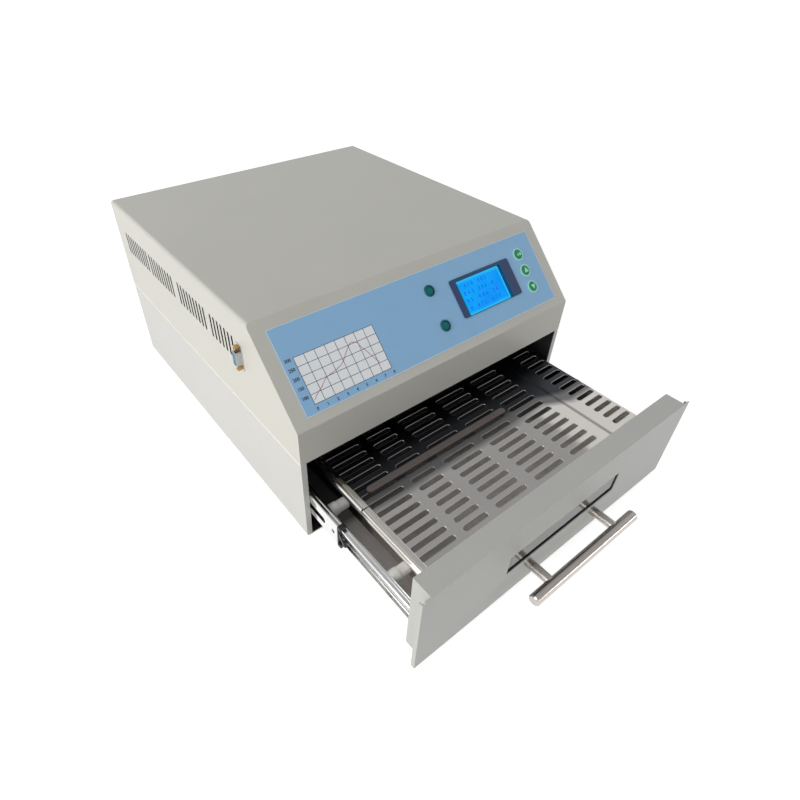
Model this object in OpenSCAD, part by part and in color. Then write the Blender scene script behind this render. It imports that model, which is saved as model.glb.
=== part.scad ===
// Infrared reflow oven: a folded steel casing with a board drawer on telescopic ball slides.
// The pieces are drawn with the rear panel at y = 0, the front towards -Y and the floor at z = 0.
// The drawer stands partly open at rest.

/* [Casing] */
// Width over the side walls
body_w = 385; // [350:1:462]
// Depth from the front lip to the rear panel
body_d = 431; // [400:1:518]
// Height of the shell above its feet
body_h = 228; // [215:1:274]
// Thickness of the casing sheet
sheet = 1.2; // [1:0.1:1.6]
// Height of the lower casing, up to the seam with the cover
seam_h = 110; // [100:1:126]
// Height of the upright lip under the sloped panel
lip_h = 41; // [34:1:50]
// Depth that the sloped panel covers, front to back
slope_run = 78; // [70:1:94]
// Outer radius of the folds
fold_r = 3; // [2:0.5:4]
// Width of the narrow front flange and ledge of the lower casing
flange_w = 6.2; // [5.8:0.2:6.6]
// Height of the feet
foot_h = 10; // [6:1:16]
// Inset of the feet from the sides and ends
foot_inset = 34; // [24:1:48]

/* [Side vents] */
// Length of one vent slot
vent_l = 28; // [20:1:34]
// Width of one vent slot
vent_w = 3.6; // [2.5:0.1:4.5]
// Distance between neighbouring slots
vent_pitch = 8; // [6:0.5:10]
// Height of the middle of the slots above the shell's bottom
vent_mid = 183; // [170:1:200]

/* [Control panel] */
// Width of the control overlay
overlay_w = 355; // [300:1:364]
// Height of the control overlay, measured along the slope
overlay_l = 88; // [80:1:92]
// Distance of the overlay from the upper fold
overlay_top = 12; // [8:1:18]
// Width of the display bezel
bezel_w = 93; // [88:1:100]
// Height of the display bezel
bezel_l = 44.5; // [43:0.5:50]
// Width of the visible display
screen_w = 70; // [60:1:80]
// Height of the visible display
screen_l = 40; // [36:1:41]
// Diameter of a key cap
key_dia = 11.4; // [9:0.2:13]
// Travel of a key
key_travel = 0.8; // [0.4:0.1:1.2]
// Diameter of an indicator lens
lamp_dia = 9.6; // [8:0.2:12]

/* [Drawer] */
// How far the drawer stands open
drawer_open = 169; // [120:1:200]
// Further travel from there to the end stop
drawer_reserve = 100; // [60:1:100]
// Height of the drawer front
drawer_h = 109; // [96:1:109]
// Depth of the folded edge of the drawer front
hem = 4.5; // [3:0.5:6]
// Depth of the drawer front from face to rear edge
front_box_d = 22; // [16:1:28]
// Width of the window
window_w = 168; // [140:1:200]
// Height of the window
window_h = 27.5; // [20:0.5:36]
// Height of the middle of the window above the shell's bottom
window_mid = 55; // [50:1:64]
// Length of the handle bar
bar_l = 159; // [130:1:190]
// Diameter of the handle bar
bar_dia = 12; // [10:0.5:14]
// Distance between the handle posts
post_pitch = 102; // [90:1:112]
// Distance from the drawer face to the axis of the bar
bar_reach = 30.5; // [26:0.5:36]
// Height of the handle above the shell's bottom
handle_mid = 33; // [28:1:38]
// Depth of the tray
tray_d = 320; // [290:1:330]
// Height of the tray's surface above the shell's bottom
tray_level = 78; // [70:1:82]
// Width of a tray slot
tray_slot_w = 5.4; // [4:0.1:6.5]
// Distance between the tray slots
tray_pitch = 12; // [10:0.5:15]

/* [Slides] */
// Length of the outer and inner slide members
slide_l = 290; // [280:1:300]
// Length of the middle member
middle_l = 255; // [250:1:265]
// Distance of the middle member's front end behind the outer one's when the drawer is shut
middle_setback = 17; // [11:1:19]
// Height of the slides above the shell's bottom
slide_mid = 47.5; // [44:0.5:52]
// Height of the middle member
middle_h = 29.5; // [27:0.5:31]
// Gap between the casing wall and the slide, filled by the mounting rail
slide_gap = 2.2; // [2:0.1:3]
// Radius of the slide balls
ball_r = 1.55; // [1.5:0.01:1.58]

/* [Heating] */
// Number of heater tubes
tube_count = 5; // [3:1:6]
// Outer diameter of a heater tube
tube_dia = 10; // [8:0.5:12]
// Half the width of the heating chamber
hood_half = 152; // [130:1:156]
// Height of the heating chamber
hood_h = 49; // [44:1:50]

/* [Hidden] */
$fn = 48;

casing_grey = [0.80, 0.79, 0.74];
lower_grey = [0.76, 0.76, 0.72];
steel = [0.72, 0.72, 0.70];
bright_steel = [0.83, 0.82, 0.80];
zinc = [0.66, 0.67, 0.66];
ceramic_white = [0.94, 0.93, 0.90];
board_green = [0.10, 0.42, 0.22];
soft_black = [0.10, 0.10, 0.11];

// Levels and planes of the casing
half_w = body_w / 2;
shell_z = foot_h;
seam_z = shell_z + seam_h;
slope_foot_z = seam_z + lip_h;
top_z = shell_z + body_h;
top_d = body_d - slope_run;
slope_rise = top_z - slope_foot_z;
slope_angle = atan2(slope_rise, slope_run);
inner_half = half_w - sheet;
opening_half = half_w - flange_w;
cover_edge_r = 4;
rear_flange = 11;
screw_r = 1.5;
screw_hole_r = 1.6;
head_r = 3;
head_h = 2;
fit = 0.3;
hair = 0.1;
over = 1;

// Vent groups of a side wall: distance of the first slot from the rear, and number of slots
vent_groups = [[32, 9], [107, 9], [190, 9], [270, 7]];

// Places on the sloped panel: distance from the middle, and distance down the slope
overlay_mid = overlay_top + overlay_l / 2;
overlay_t = 0.5;
overlay_corner = 2;
bezel_t = 1.2;
bezel_corner = 2.5;
collar_wall = 0.8;
screen_sink = 2.2;
screen_t = 1.8;
bezel_at = [84, 56];
screen_at = [81, 57.5];
window_t = 1.4;
key_x = 150.7;
key_rows = [35.2, 55.8, 76.6];
lamp_x = 9.4;
lamp_rows = [35.2, 75.8];
board_gap = 15;
board_t = 1.6;
board_x0 = -14;
board_x1 = 168;
board_top = 24;
board_bottom = 94;
standoff_r = 3;
standoff_rows = [28, 90];
standoff_columns = [28, 138, 163];
lcd_back = 8;
lcd_frame = [87, 56];
panel_hole_play = 0.5;

// Serial connector on the left wall
serial_y = -331;
serial_z = shell_z + 179;
serial_reach = 6;
jack_pitch = 25;
jack_reach = 5;

// Rear panel
fan_at = [0, shell_z + 150];
fan_size = 80;
fan_depth = 25;
fan_bore_r = 38;
fan_screw_pitch = 71.5;
fan_hub_r = 17;
fan_shaft_r = 2;
guard_t = 2.4;
inlet_at = [120, shell_z + 45];
inlet_hole = [27.4, 31.4];
inlet_flange = [34, 50];
switch_at = [80, shell_z + 45];
switch_hole = [19.2, 13];
switch_flange = [21, 15];
rocker_tilt = 9;

// Slides: t runs from the casing wall to the drawer, v from the middle of the slide upwards
slide_z = shell_z + slide_mid;
slide_x = inner_half - slide_gap;
slide_t = 12.7;
slide_front = body_d - 20;
inner_front = body_d - 3;
middle_front = slide_front - middle_setback;
travel = drawer_open + drawer_reserve;
ball_lane = 2 * ball_r + 0.25;
middle_v = middle_h / 2;
outer_v = middle_v + ball_lane + 1.2;
inner_v = middle_v - 1.1 - ball_lane;
outer_ball = [5.9, middle_v + ball_lane / 2];
inner_ball = [7.3, inner_v + ball_lane / 2];
flange_step = 0.6;
ball_pitch = 12;
cage_end = 3;
// Stretch where both members of a pair overlap over the whole travel, at the shut position
outer_cage_span = [
    min(middle_front, slide_front - travel / 4) - cage_end,
    max(middle_front - middle_l, slide_front - slide_l, middle_front - middle_l + travel / 4) + cage_end
];
inner_cage_span = [
    min(middle_front, middle_front - travel / 4) - cage_end,
    max(inner_front - slide_l + travel / 4, middle_front - middle_l) + cage_end
];
bumper_l = 5;

// Drawer, in its shut position; slid() moves it out
seat_gap = 0.3;
face_y = -(body_d + seat_gap + hem);
plate_lap = 2;
plate_half = half_w + plate_lap;
drawer_top = shell_z + drawer_h;
box_sheet = 1;
box_half = opening_half - 1;
box_foot_z = shell_z + sheet + 3;
handle_z = shell_z + handle_mid;
window_z = shell_z + window_mid;
glass_t = 3;
glass_lap = 4;
retainer_t = 1;
retainer_depth = glass_t + 2 * hair + retainer_t;
post_r = 5;
post_screw_r = 2;
post_head_r = 3.8;
tray_top = shell_z + tray_level;
tray_sheet = 1;
tray_half = slide_x - slide_t - 11.4;
tray_wall_in = 8.3;
tray_wall_h = 34;
tray_rim_h = 7.2;
tray_rim_r = 3.5;
joggle_x = tray_half - 49;
joggle_h = 1.5;
tray_front = -face_y - sheet - retainer_depth - 1;
tray_back = tray_front - tray_d;
// Slot columns: left end and right end, measured from the middle
slot_columns = [
    [9 - tray_half, -113], [-102, -71], [-58, -15], [-1, 42], [56, 99], [tray_half - 32, tray_half - 3.3]
];
bar_from = -146;
bar_to = 50;
bar_y = face_y + 131;
pan_z = shell_z + 22;
pan_sheet = 1;
pan_rim_z = slide_z - 6;
pan_back = inner_front - slide_l + 2;
spacer_z = slide_z + 4;
spacer_r = 7;
spacer_rows = [58, 152.5];
spacer_share = 0.42;
skirt_x = tray_half - tray_wall_in;
web_x = slide_x - slide_t;

// Distance of the tray's wall from the middle: set in under the rim on the left, straight down on the right
function wall_x(side) = side < 0 ? skirt_x : tray_half;

// Heating chamber
hood_z = seam_z + 0.8;
hood_top = hood_z + hood_h;
hood_sheet = 0.8;
wool_h = 15;
wool_inset = 14;
// Depth taken up behind the sloped panel by the control board and its chips
chip_h = 3;
board_reach = sheet + board_gap + board_t + chip_h;
hood_front = min(behind_board(hood_top), behind_board(hood_top + wool_h) + wool_inset) - 4;
hood_back = 90;
tube_z = hood_z + 17;
tube_wall = 1;
cap_l = 15;
cap_flange_r = tube_dia / 2 + 4;
cap_r = tube_dia / 2 + 2;
reflector_r = tube_dia / 2 + 8;
reflector_t = 0.8;
deck_z = hood_top + wool_h + 1;
deck_top = deck_z + sheet;
deck_leg_x = hood_half + cap_l + 8;
deck_front = hood_front - 62;
deck_back = 66;
stirrer_y = -(deck_front + deck_back) / 2 - 26;
shaft_r = 3;
motor_r = 29;
motor_h = 34;

// Centre of the bounding box of the finished part
left_reach = max(half_w + serial_reach, plate_half);
x_shift = (left_reach - plate_half) / 2;
front_reach = -face_y + drawer_open + bar_reach + bar_dia / 2;
y_shift = (front_reach - guard_t) / 2;

// Distance from the rear panel to the back of the control board at a height z
function behind_board(z) =
    body_d - (z - slope_foot_z) * slope_run / slope_rise - board_reach / sin(slope_angle);

// Direction helpers for folded sheets
function unit(v) = v / norm(v);
function left_of(v) = [-v[1], v[0]];

// Points of an arc of radius r that rounds the corner b between a and c
function corner_arc(a, b, c, r, steps = 5) =
    let (
        u = unit(a - b), w = unit(c - b), half = acos(u * w) / 2,
        centre = b + unit(u + w) * r / sin(half),
        from = b + u * r / tan(half) - centre, to = b + w * r / tan(half) - centre,
        start = atan2(from[1], from[0]), turn = atan2(to[1], to[0]) - start,
        sweep = turn > 180 ? turn - 360 : turn < -180 ? turn + 360 : turn
    )
    [for (i = [0:steps]) centre + r * [cos(start + sweep * i / steps), sin(start + sweep * i / steps)]];

// An open line with every inner corner rounded, all alike or each by its own radius
function bent_line(p, r) = concat(
    [p[0]],
    [for (i = [1:len(p) - 2]) each corner_arc(p[i - 1], p[i], p[i + 1], is_list(r) ? r[i - 1] : r)],
    [p[len(p) - 1]]
);

// A closed outline with every corner rounded
function rounded_outline(p, r) =
    let (n = len(p)) [for (i = [0:n - 1]) each corner_arc(p[(i + n - 1) % n], p[i], p[(i + 1) % n], r)];

// Offset of point i of a line, so that both segments beside it move by 1 to their left
function miter(p, i) =
    let (
        before = i > 0 ? left_of(unit(p[i] - p[i - 1])) : left_of(unit(p[1] - p[0])),
        after = i < len(p) - 1 ? left_of(unit(p[i + 1] - p[i])) : before
    )
    (before + after) / (1 + before * after);

// The line moved by t to its left
function beside(p, t) = [for (i = [0:len(p) - 1]) p[i] + t * miter(p, i)];

// Outline of a folded sheet of thickness t, which lies to the left of its outer line
function sheet_outline(p, t) =
    let (q = beside(p, t)) concat(p, [for (i = [len(q) - 1:-1:0]) q[i]]);

function rectangle(w, h) = [[-w / 2, -h / 2], [w / 2, -h / 2], [w / 2, h / 2], [-w / 2, h / 2]];

// Extrudes a drawing in x and z along y
module along_y(y0, y1) {
    translate([0, y1, 0]) rotate([90, 0, 0]) linear_extrude(y1 - y0) children();
}

// Extrudes a drawing in y and z along x
module along_x(x0, x1) {
    translate([x0, 0, 0]) rotate([90, 0, 90]) linear_extrude(x1 - x0) children();
}

// Places a piece on the sloped panel: x across, s down the slope, its own Z outwards
module on_slope(x, s) {
    translate([0, -top_d, top_z]) rotate([slope_angle, 0, 0]) translate([x, -s, 0]) children();
}

// Places a piece on the rear panel: its own Y up, its own Z into the casing
module on_rear(place) {
    translate([place[0], 0, place[1]]) rotate([90, 0, 0]) children();
}

module slid(share) {
    translate([0, -share * drawer_open, 0]) children();
}

// The left-hand drawing, or its mirror image on the right
module on_side(side) {
    if (side < 0) children(); else mirror([1, 0, 0]) children();
}

module block(x0, x1, y0, y1, z0, z1) {
    translate([x0, y0, z0]) cube([x1 - x0, y1 - y0, z1 - z0]);
}

module rounded_plate(w, l, r, t) {
    linear_extrude(t) polygon(rounded_outline(rectangle(w, l), r));
}

// A slot with round ends, its length along the drawing's second axis
module slot(w, l) {
    square([w, l - w], center = true);
    for (s = [-1, 1]) translate([0, s * (l - w) / 2]) circle(d = w);
}

module screw(shaft_l) {
    cylinder(r = screw_r, h = shaft_l);
    translate([0, 0, -head_h]) cylinder(r = head_r, h = head_h);
}

// Casing

foot_places = [for (sx = [-1, 1], y = [-foot_inset, foot_inset - body_d]) [sx * (half_w - foot_inset), y]];
panel_screws = [
    for (sx = [-1, 1]) each [
        [sx * (inner_half - rear_flange / 2), shell_z + 30],
        [sx * (inner_half - rear_flange / 2), seam_z - 20],
        [sx * (inner_half - rear_flange / 2), seam_z + 25],
        [sx * half_w / 2, top_z - sheet - rear_flange / 2]
    ]
];

module panel_screw_holes() {
    for (p = panel_screws) on_rear(p) translate([0, 0, -over]) cylinder(r = screw_hole_r, h = 6);
}

module lower_casing() {
    wall = bent_line([
        [-opening_half, seam_z], [-half_w, seam_z], [-half_w, shell_z],
        [half_w, shell_z], [half_w, seam_z], [opening_half, seam_z]
    ], fold_r);
    color(lower_grey) difference() {
        union() {
            along_y(-body_d, -sheet) polygon(sheet_outline(wall, sheet));
            for (side = [-1, 1]) on_side(side) {
                block(-inner_half, -opening_half, -body_d, sheet - body_d, shell_z + sheet, seam_z - sheet);
                block(-inner_half, rear_flange - inner_half, -2 * sheet, -sheet,
                    shell_z + sheet, seam_z - sheet);
            }
        }
        for (p = foot_places) translate([p[0], p[1], 0]) cylinder(r = screw_hole_r, h = shell_z + 5);
        panel_screw_holes();
    }
}

// Side profile of the cover: rear, top, slope, lip
cover_line = bent_line([[0, top_z], [-top_d, top_z], [-body_d, slope_foot_z], [-body_d, seam_z]], fold_r);

module cover_solid(inset, z0, y1) {
    line = beside(cover_line, inset);
    intersection() {
        along_x(inset - half_w, half_w - inset)
            polygon(concat([[y1, z0], [y1, top_z - inset]], [for (i = [1:len(line) - 2]) line[i]],
                [[inset - body_d, z0]]));
        along_y(-body_d, y1) polygon(cover_front(inset, z0));
    }
}

// Front outline of the cover, rounded where the top meets the sides
function cover_front(inset, z0) = bent_line([
    [inset - half_w, z0], [inset - half_w, top_z - inset],
    [half_w - inset, top_z - inset], [half_w - inset, z0]
], cover_edge_r - inset);

module side_vents() {
    for (g = vent_groups, i = [0:g[1] - 1])
        translate([-g[0] - i * vent_pitch, shell_z + vent_mid]) slot(vent_w, vent_l);
}

module top_cover() {
    lip_fold = 12;
    color(casing_grey) difference() {
        union() {
            difference() {
                cover_solid(0, seam_z, -sheet);
                cover_solid(sheet, seam_z - over, 0);
            }
            block(-inner_half, inner_half, sheet - body_d, lip_fold - body_d, seam_z, seam_z + sheet);
            for (side = [-1, 1]) on_side(side)
                block(-inner_half, rear_flange - inner_half, -2 * sheet, -sheet, seam_z, top_z - 12);
            block(rear_flange - inner_half, inner_half - rear_flange, -2 * sheet, -sheet,
                top_z - sheet - rear_flange, top_z - sheet);
        }
        along_x(-half_w - over, half_w + over) side_vents();
        panel_screw_holes();
        panel_openings(2 * sheet);
        along_x(-half_w - over, -inner_half + over) translate([serial_y, serial_z]) serial_hole();
    }
}

// Openings through the sloped panel for the display, the keys and the lamps
module panel_openings(depth) {
    on_slope(screen_at[0], screen_at[1]) translate([0, 0, -depth]) {
        rounded_plate(screen_w + 2, screen_l + 2, 1, 2 * depth);
    }
    for (s = key_rows) on_slope(key_x, s) translate([0, 0, -depth])
        cylinder(d = key_dia + 2 * panel_hole_play, h = 2 * depth);
    for (s = lamp_rows) on_slope(lamp_x, s) translate([0, 0, -depth])
        cylinder(d = lamp_dia + 2, h = 2 * depth);
}

module rear_panel() {
    color(casing_grey) difference() {
        along_y(-sheet, 0) difference() {
            polygon(concat(cover_front(0, shell_z + fold_r),
                [[half_w - fold_r, shell_z], [fold_r - half_w, shell_z]]));
            translate(fan_at) circle(r = fan_bore_r);
            for (sx = [-1, 1], sz = [-1, 1])
                translate(fan_at + [sx, sz] * fan_screw_pitch / 2) circle(r = 2.2);
            translate(inlet_at) square(inlet_hole, center = true);
            translate(switch_at) square(switch_hole, center = true);
            for (sx = [-1, 1], i = [0:7])
                translate([sx * 118 + (i - 3.5) * vent_pitch, vent_mid + shell_z]) slot(vent_w, vent_l);
        }
        panel_screw_holes();
    }
}

module rubber_feet() {
    recess_r = 4;
    recess_h = 5;
    color(soft_black) for (p = foot_places) translate([p[0], p[1], 0]) rotate_extrude()
        polygon([[recess_r, 0], [9, 0], [10, 1], [11, foot_h], [screw_hole_r, foot_h],
            [screw_hole_r, recess_h], [recess_r, recess_h]]);
}

module casing_screws() {
    color(zinc) {
        for (p = foot_places) translate([p[0], p[1], 5]) screw(foot_h + sheet);
        for (p = panel_screws) on_rear(p) screw(4 * sheet);
    }
}

// Slides

// Places a drawing of the left slide's section, and mirrors it for the right
module slide_section(side, y0, y1) {
    on_side(side) translate([-slide_x, 0, slide_z]) along_y(y0, y1) children();
}

module slide_mount_rails() {
    color(zinc) for (side = [-1, 1]) on_side(side)
        block(-inner_half, -slide_x, -slide_front, slide_l - slide_front, slide_z - 12, slide_z + 12);
}

// Half of a section from its free lip to the web, and its mirror image after it
function both_halves(half) = concat(half, [for (i = [len(half) - 1:-1:0]) [half[i][0], -half[i][1]]]);

module slide_outer_members() {
    lip = outer_v - 2.9;
    line = bent_line(both_halves([[9.2, lip], [9.2, outer_v], [0, outer_v]]), 2.4);
    color(steel) for (side = [-1, 1])
        slide_section(side, -slide_front, slide_l - slide_front) polygon(sheet_outline(line, 1.2));
}

module slide_middle(side) {
    rim = middle_v + flange_step;
    half = [[10.2, middle_v - 2.7], [10.2, rim], [7.9, rim], [7, middle_v], [3.2, middle_v]];
    line = bent_line(both_halves(half), [1.4, 1.2, 1.2, 2, 2, 1.2, 1.2, 1.4]);
    color(bright_steel) slid(0.5) difference() {
        slide_section(side, -middle_front, middle_l - middle_front) polygon(sheet_outline(line, 1.1));
        on_side(side) translate([-slide_x + 2, -middle_front, slide_z]) rotate([0, 90, 0]) linear_extrude(3) {
            translate([0, 39]) slot(8, 36);
            translate([0, 7.5]) circle(r = 2.5);
        }
    }
}

// Two end blocks on one thin plate, which also carries a release tongue
module slide_bumper(side) {
    cap_h = middle_v + 0.7;
    block_foot = inner_v + flange_step + 0.5;
    tongue_l = 13;
    color(soft_black) slid(0.5) {
        for (s = [-1, 1]) slide_section(side, -middle_front - bumper_l, -middle_front)
            polygon(rounded_outline([
                [3, s * block_foot], [10.4, s * block_foot], [10.4, s * cap_h], [3, s * cap_h]
            ], 1.2));
        slide_section(side, -middle_front - 1.6, -middle_front)
            translate([3, 2 - cap_h]) square([1.4, 2 * cap_h - 4]);
        on_side(side) translate([-slide_x, 0, slide_z]) along_x(3.3, 4.7) polygon([
            [-middle_front - 0.8, 1], [-middle_front - tongue_l + 2, -6.4], [-middle_front - tongue_l, -5],
            [-middle_front - tongue_l + 3, -1.6], [-middle_front - 0.8, 8.4]
        ]);
    }
}

module slide_inner_members() {
    web_v = inner_v + flange_step;
    half = [[5.6, 3 - inner_v], [5.6, -inner_v], [9, -inner_v], [9.8, -web_v], [slide_t, -web_v]];
    line = bent_line(both_halves(half), [1.5, 1.3, 1.3, 1.5, 1.5, 1.3, 1.3, 1.5]);
    color(bright_steel) slid(1) for (side = [-1, 1]) difference() {
        slide_section(side, -inner_front, slide_l - inner_front) polygon(sheet_outline(line, 1.2));
        on_side(side) spacer_bores();
    }
}

// Bores for the spacer screws on the left side
module spacer_bores() {
    for (d = spacer_rows) translate([-slide_x, face_y + d, spacer_z]) rotate([0, 90, 0])
        cylinder(r = post_screw_r + hair, h = slide_x - skirt_x + 4);
}

// Two rows of balls, one above and one below, each held by its retainer strip
module ball_cage(side, ball, span, share) {
    count = floor((span[0] - span[1]) / ball_pitch);
    color("silver") slid(share) on_side(side) for (s = [-1, 1]) translate([-slide_x, 0, slide_z]) {
        block(ball[0] - 1, ball[0] + 1, -span[0], -span[1], s * ball[1] - 0.5, s * ball[1] + 0.5);
        for (i = [0:count - 1])
            translate([ball[0], -span[0] + (i + 0.5) * ball_pitch, s * ball[1]]) sphere(r = ball_r);
    }
}

// Heating chamber

tube_step = (hood_front - hood_back - 68) / (tube_count - 1);
tube_places = [for (i = [0:tube_count - 1]) -hood_front + 34 + i * tube_step];

module chamber_hood() {
    ledge_lap = inner_half - fit;
    color(steel) difference() {
        union() {
            block(-hood_half, hood_half, -hood_front, -hood_back, hood_z, hood_top);
            block(-ledge_lap, ledge_lap, -hood_front, -hood_back, seam_z, hood_z);
        }
        block(hood_sheet - hood_half, hood_half - hood_sheet, hood_sheet - hood_front,
            -hood_back - hood_sheet, seam_z - over, hood_top - hood_sheet);
        for (y = tube_places) translate([-hood_half - over, y, tube_z]) rotate([0, 90, 0])
            cylinder(d = tube_dia + 1, h = body_w);
        translate([0, stirrer_y, hood_top - 2]) cylinder(r = shaft_r + 2, h = 4);
        for (x = probe_places) translate([x, -hood_back - 2, probe_z]) rotate([-90, 0, 0])
            cylinder(r = probe_r + hair, h = 4);
    }
}

module insulation_blanket() {
    color([0.93, 0.92, 0.88]) difference() {
        block(12 - hood_half, hood_half - 12, wool_inset - hood_front, -hood_back - 10,
            hood_top, hood_top + wool_h);
        translate([0, stirrer_y, hood_top - over]) cylinder(r = shaft_r + 3, h = wool_h + 2);
    }
}

module service_deck() {
    foot = 8;
    line = bent_line([
        [-deck_leg_x - foot, hood_z], [-deck_leg_x, hood_z], [-deck_leg_x, deck_z],
        [deck_leg_x, deck_z], [deck_leg_x, hood_z], [deck_leg_x + foot, hood_z]
    ], 2);
    color(zinc) difference() {
        along_y(-deck_front, -deck_back) polygon(sheet_outline(line, sheet));
        translate([0, stirrer_y, deck_z - 3]) cylinder(r = shaft_r + 3, h = 8);
    }
}

module heater_tubes() {
    reach = hood_half + cap_l - 4;
    color([0.90, 0.92, 0.94, 0.45]) for (y = tube_places) translate([-reach, y, tube_z]) rotate([0, 90, 0])
        difference() {
            cylinder(d = tube_dia, h = 2 * reach);
            translate([0, 0, -over]) cylinder(d = tube_dia - 2 * tube_wall, h = 2 * reach + 2);
        }
}

module heater_filaments() {
    reach = hood_half + cap_l + 3;
    color([0.45, 0.40, 0.36]) for (y = tube_places) translate([-reach, y, tube_z]) rotate([0, 90, 0])
        cylinder(r = 1, h = 2 * reach);
}

module heater_caps() {
    color(ceramic_white) for (side = [-1, 1], y = tube_places) on_side(side)
        translate([-hood_half, y, tube_z]) rotate([0, -90, 0]) rotate_extrude()
            polygon([
                [tube_dia / 2 + hair, 0], [cap_flange_r, 0], [cap_flange_r, 3], [cap_r, 3],
                [cap_r, cap_l], [1.1, cap_l], [1.1, cap_l - 4 + hair], [tube_dia / 2 + hair, cap_l - 4 + hair]
            ]);
}

module heat_reflectors() {
    reach = hood_half - hood_sheet;
    color(bright_steel) for (y = tube_places) along_x(-reach, reach) translate([y, tube_z + 2]) difference() {
        circle(r = reflector_r);
        circle(r = reflector_r - reflector_t);
        translate([-2 * reflector_r, -4 * reflector_r]) square(4 * reflector_r);
    }
}

module stirrer_motor() {
    color(steel) translate([0, stirrer_y, deck_top]) difference() {
        union() {
            cylinder(r = motor_r, h = motor_h);
            cylinder(r = motor_r + 8, h = 2);
        }
        translate([0, 0, -over]) cylinder(r = shaft_r + 0.05, h = 18);
    }
}

module stirrer_impeller() {
    blades = 10;
    wheel_r = 34;
    wheel_z = tube_z + 2 + reflector_r + 2;
    color(steel) translate([0, stirrer_y, 0]) {
        translate([0, 0, wheel_z]) cylinder(r = shaft_r, h = deck_z + 15 - wheel_z);
        translate([0, 0, wheel_z]) cylinder(r = 9, h = 7);
        translate([0, 0, wheel_z]) cylinder(r = wheel_r, h = 1);
        for (i = [0:blades - 1]) rotate([0, 0, 360 / blades * i]) translate([8, 2, wheel_z])
            rotate([0, 0, 12]) cube([wheel_r - 11, 1, 7]);
    }
}

probe_r = 1.5;
probe_z = hood_z + 6;
probe_places = [-60, 60];

module thermocouples() {
    color(steel) for (x = probe_places) translate([x, -hood_back, probe_z]) rotate([90, 0, 0]) {
        translate([0, 0, -30]) cylinder(r = probe_r, h = 130);
        translate([0, 0, -8]) cylinder(r = 4.5, h = 8, $fn = 6);
    }
}

// Rear fittings

module exhaust_fan_frame() {
    bearing_r = fan_shaft_r + 0.05;
    hub_t = 5;
    color(soft_black) on_rear(fan_at) translate([0, 0, sheet]) difference() {
        union() {
            difference() {
                rounded_plate(fan_size, fan_size, 4, fan_depth);
                translate([0, 0, -over]) cylinder(r = fan_bore_r, h = fan_depth + 2);
            }
            translate([0, 0, fan_depth - hub_t]) {
                cylinder(r = fan_hub_r, h = hub_t);
                for (a = [0:90:270]) rotate([0, 0, a + 20]) translate([0, -2, 0])
                    cube([fan_bore_r + 0.5, 4, 3]);
            }
        }
        translate([0, 0, fan_depth - hub_t - over]) cylinder(r = bearing_r, h = hub_t + 2);
        for (sx = [-1, 1], sy = [-1, 1]) translate([sx, sy] * fan_screw_pitch / 2)
            translate([0, 0, -over]) cylinder(r = 2.2, h = fan_depth + 2);
    }
}

module exhaust_fan_rotor() {
    blades = 7;
    hub_h = 17;
    tip_r = fan_bore_r - 1.5;
    color(soft_black) on_rear(fan_at) translate([0, 0, sheet + 2]) {
        cylinder(r = fan_hub_r, h = hub_h);
        cylinder(r = fan_shaft_r, h = fan_depth - 4);
        intersection() {
            difference() {
                cylinder(r = tip_r, h = hub_h);
                translate([0, 0, -over]) cylinder(r = fan_hub_r - 1, h = hub_h + 2);
            }
            for (i = [0:blades - 1]) rotate([0, 0, 360 / blades * i]) translate([fan_hub_r - 2, 0, hub_h / 2])
                rotate([52, 0, 0]) translate([0, -12, -0.6]) cube([tip_r, 24, 1.2]);
        }
    }
}

module fan_guard() {
    wire_r = guard_t / 2;
    color(zinc) on_rear(fan_at) translate([0, 0, -wire_r]) {
        for (r = [10, 19, 28, 37]) rotate_extrude() translate([r, 0]) circle(r = wire_r);
        for (a = [45:90:315]) rotate([0, 0, a]) translate([8, 0, 0]) rotate([0, 90, 0])
            cylinder(r = wire_r - 0.2, h = fan_screw_pitch / sqrt(2) - 8 + 3);
    }
}

module power_inlet() {
    socket = [24, 16.5];
    depth = 16;
    color(soft_black) on_rear(inlet_at) difference() {
        union() {
            translate([0, 0, -2.2]) rounded_plate(inlet_flange[0], inlet_flange[1], 3, 2.2);
            translate([0, 0, depth / 2])
                cube([inlet_hole[0] - 0.4, inlet_hole[1] - 0.4, depth], center = true);
        }
        translate([0, -3, depth / 2 - 3.5]) cube([socket[0], socket[1], depth + 1], center = true);
    }
    color("silver") on_rear(inlet_at) for (p = [[-7, -3.6], [7, -3.6], [0, 0.4]])
        translate([p[0] - 1, p[1] - 2, 0]) cube([2, 4, depth + 6]);
}

module switch_bezel() {
    depth = 14;
    color(soft_black) on_rear(switch_at) difference() {
        union() {
            translate([0, 0, -2]) rounded_plate(switch_flange[0], switch_flange[1], 1.5, 2);
            translate([0, 0, depth / 2])
                cube([switch_hole[0] - 0.4, switch_hole[1] - 0.4, depth], center = true);
        }
        translate([0, 0, 2]) cube([switch_hole[0] - 3, switch_hole[1] - 3, 14], center = true);
        translate([-switch_hole[0] / 2 - over, 0, 1.5]) rotate([0, 90, 0])
            cylinder(r = 1.05, h = switch_hole[0] + 2);
    }
}

// The rocker turns about the X axis and lies with one half pressed in
module power_rocker() {
    half = switch_hole[1] / 2 - 2;
    color([0.75, 0.08, 0.06]) on_rear(switch_at) translate([0, 0, 1.5]) rotate([rocker_tilt, 0, 0]) {
        along_x(-switch_hole[0] / 2 + 2, switch_hole[0] / 2 - 2)
            polygon([[-half, -3.2], [0, -2.2], [half, -3.2], [half, 0], [0, 2.4], [-half, 0]]);
        translate([-switch_hole[0] / 2 + 0.4, 0, 0]) rotate([0, 90, 0])
            cylinder(r = 1, h = switch_hole[0] - 0.8);
    }
}

module serial_hole() {
    polygon(serial_outline(0.3));
    for (s = [-1, 1]) translate([0, s * jack_pitch / 2]) circle(r = 1.4);
}

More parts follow.
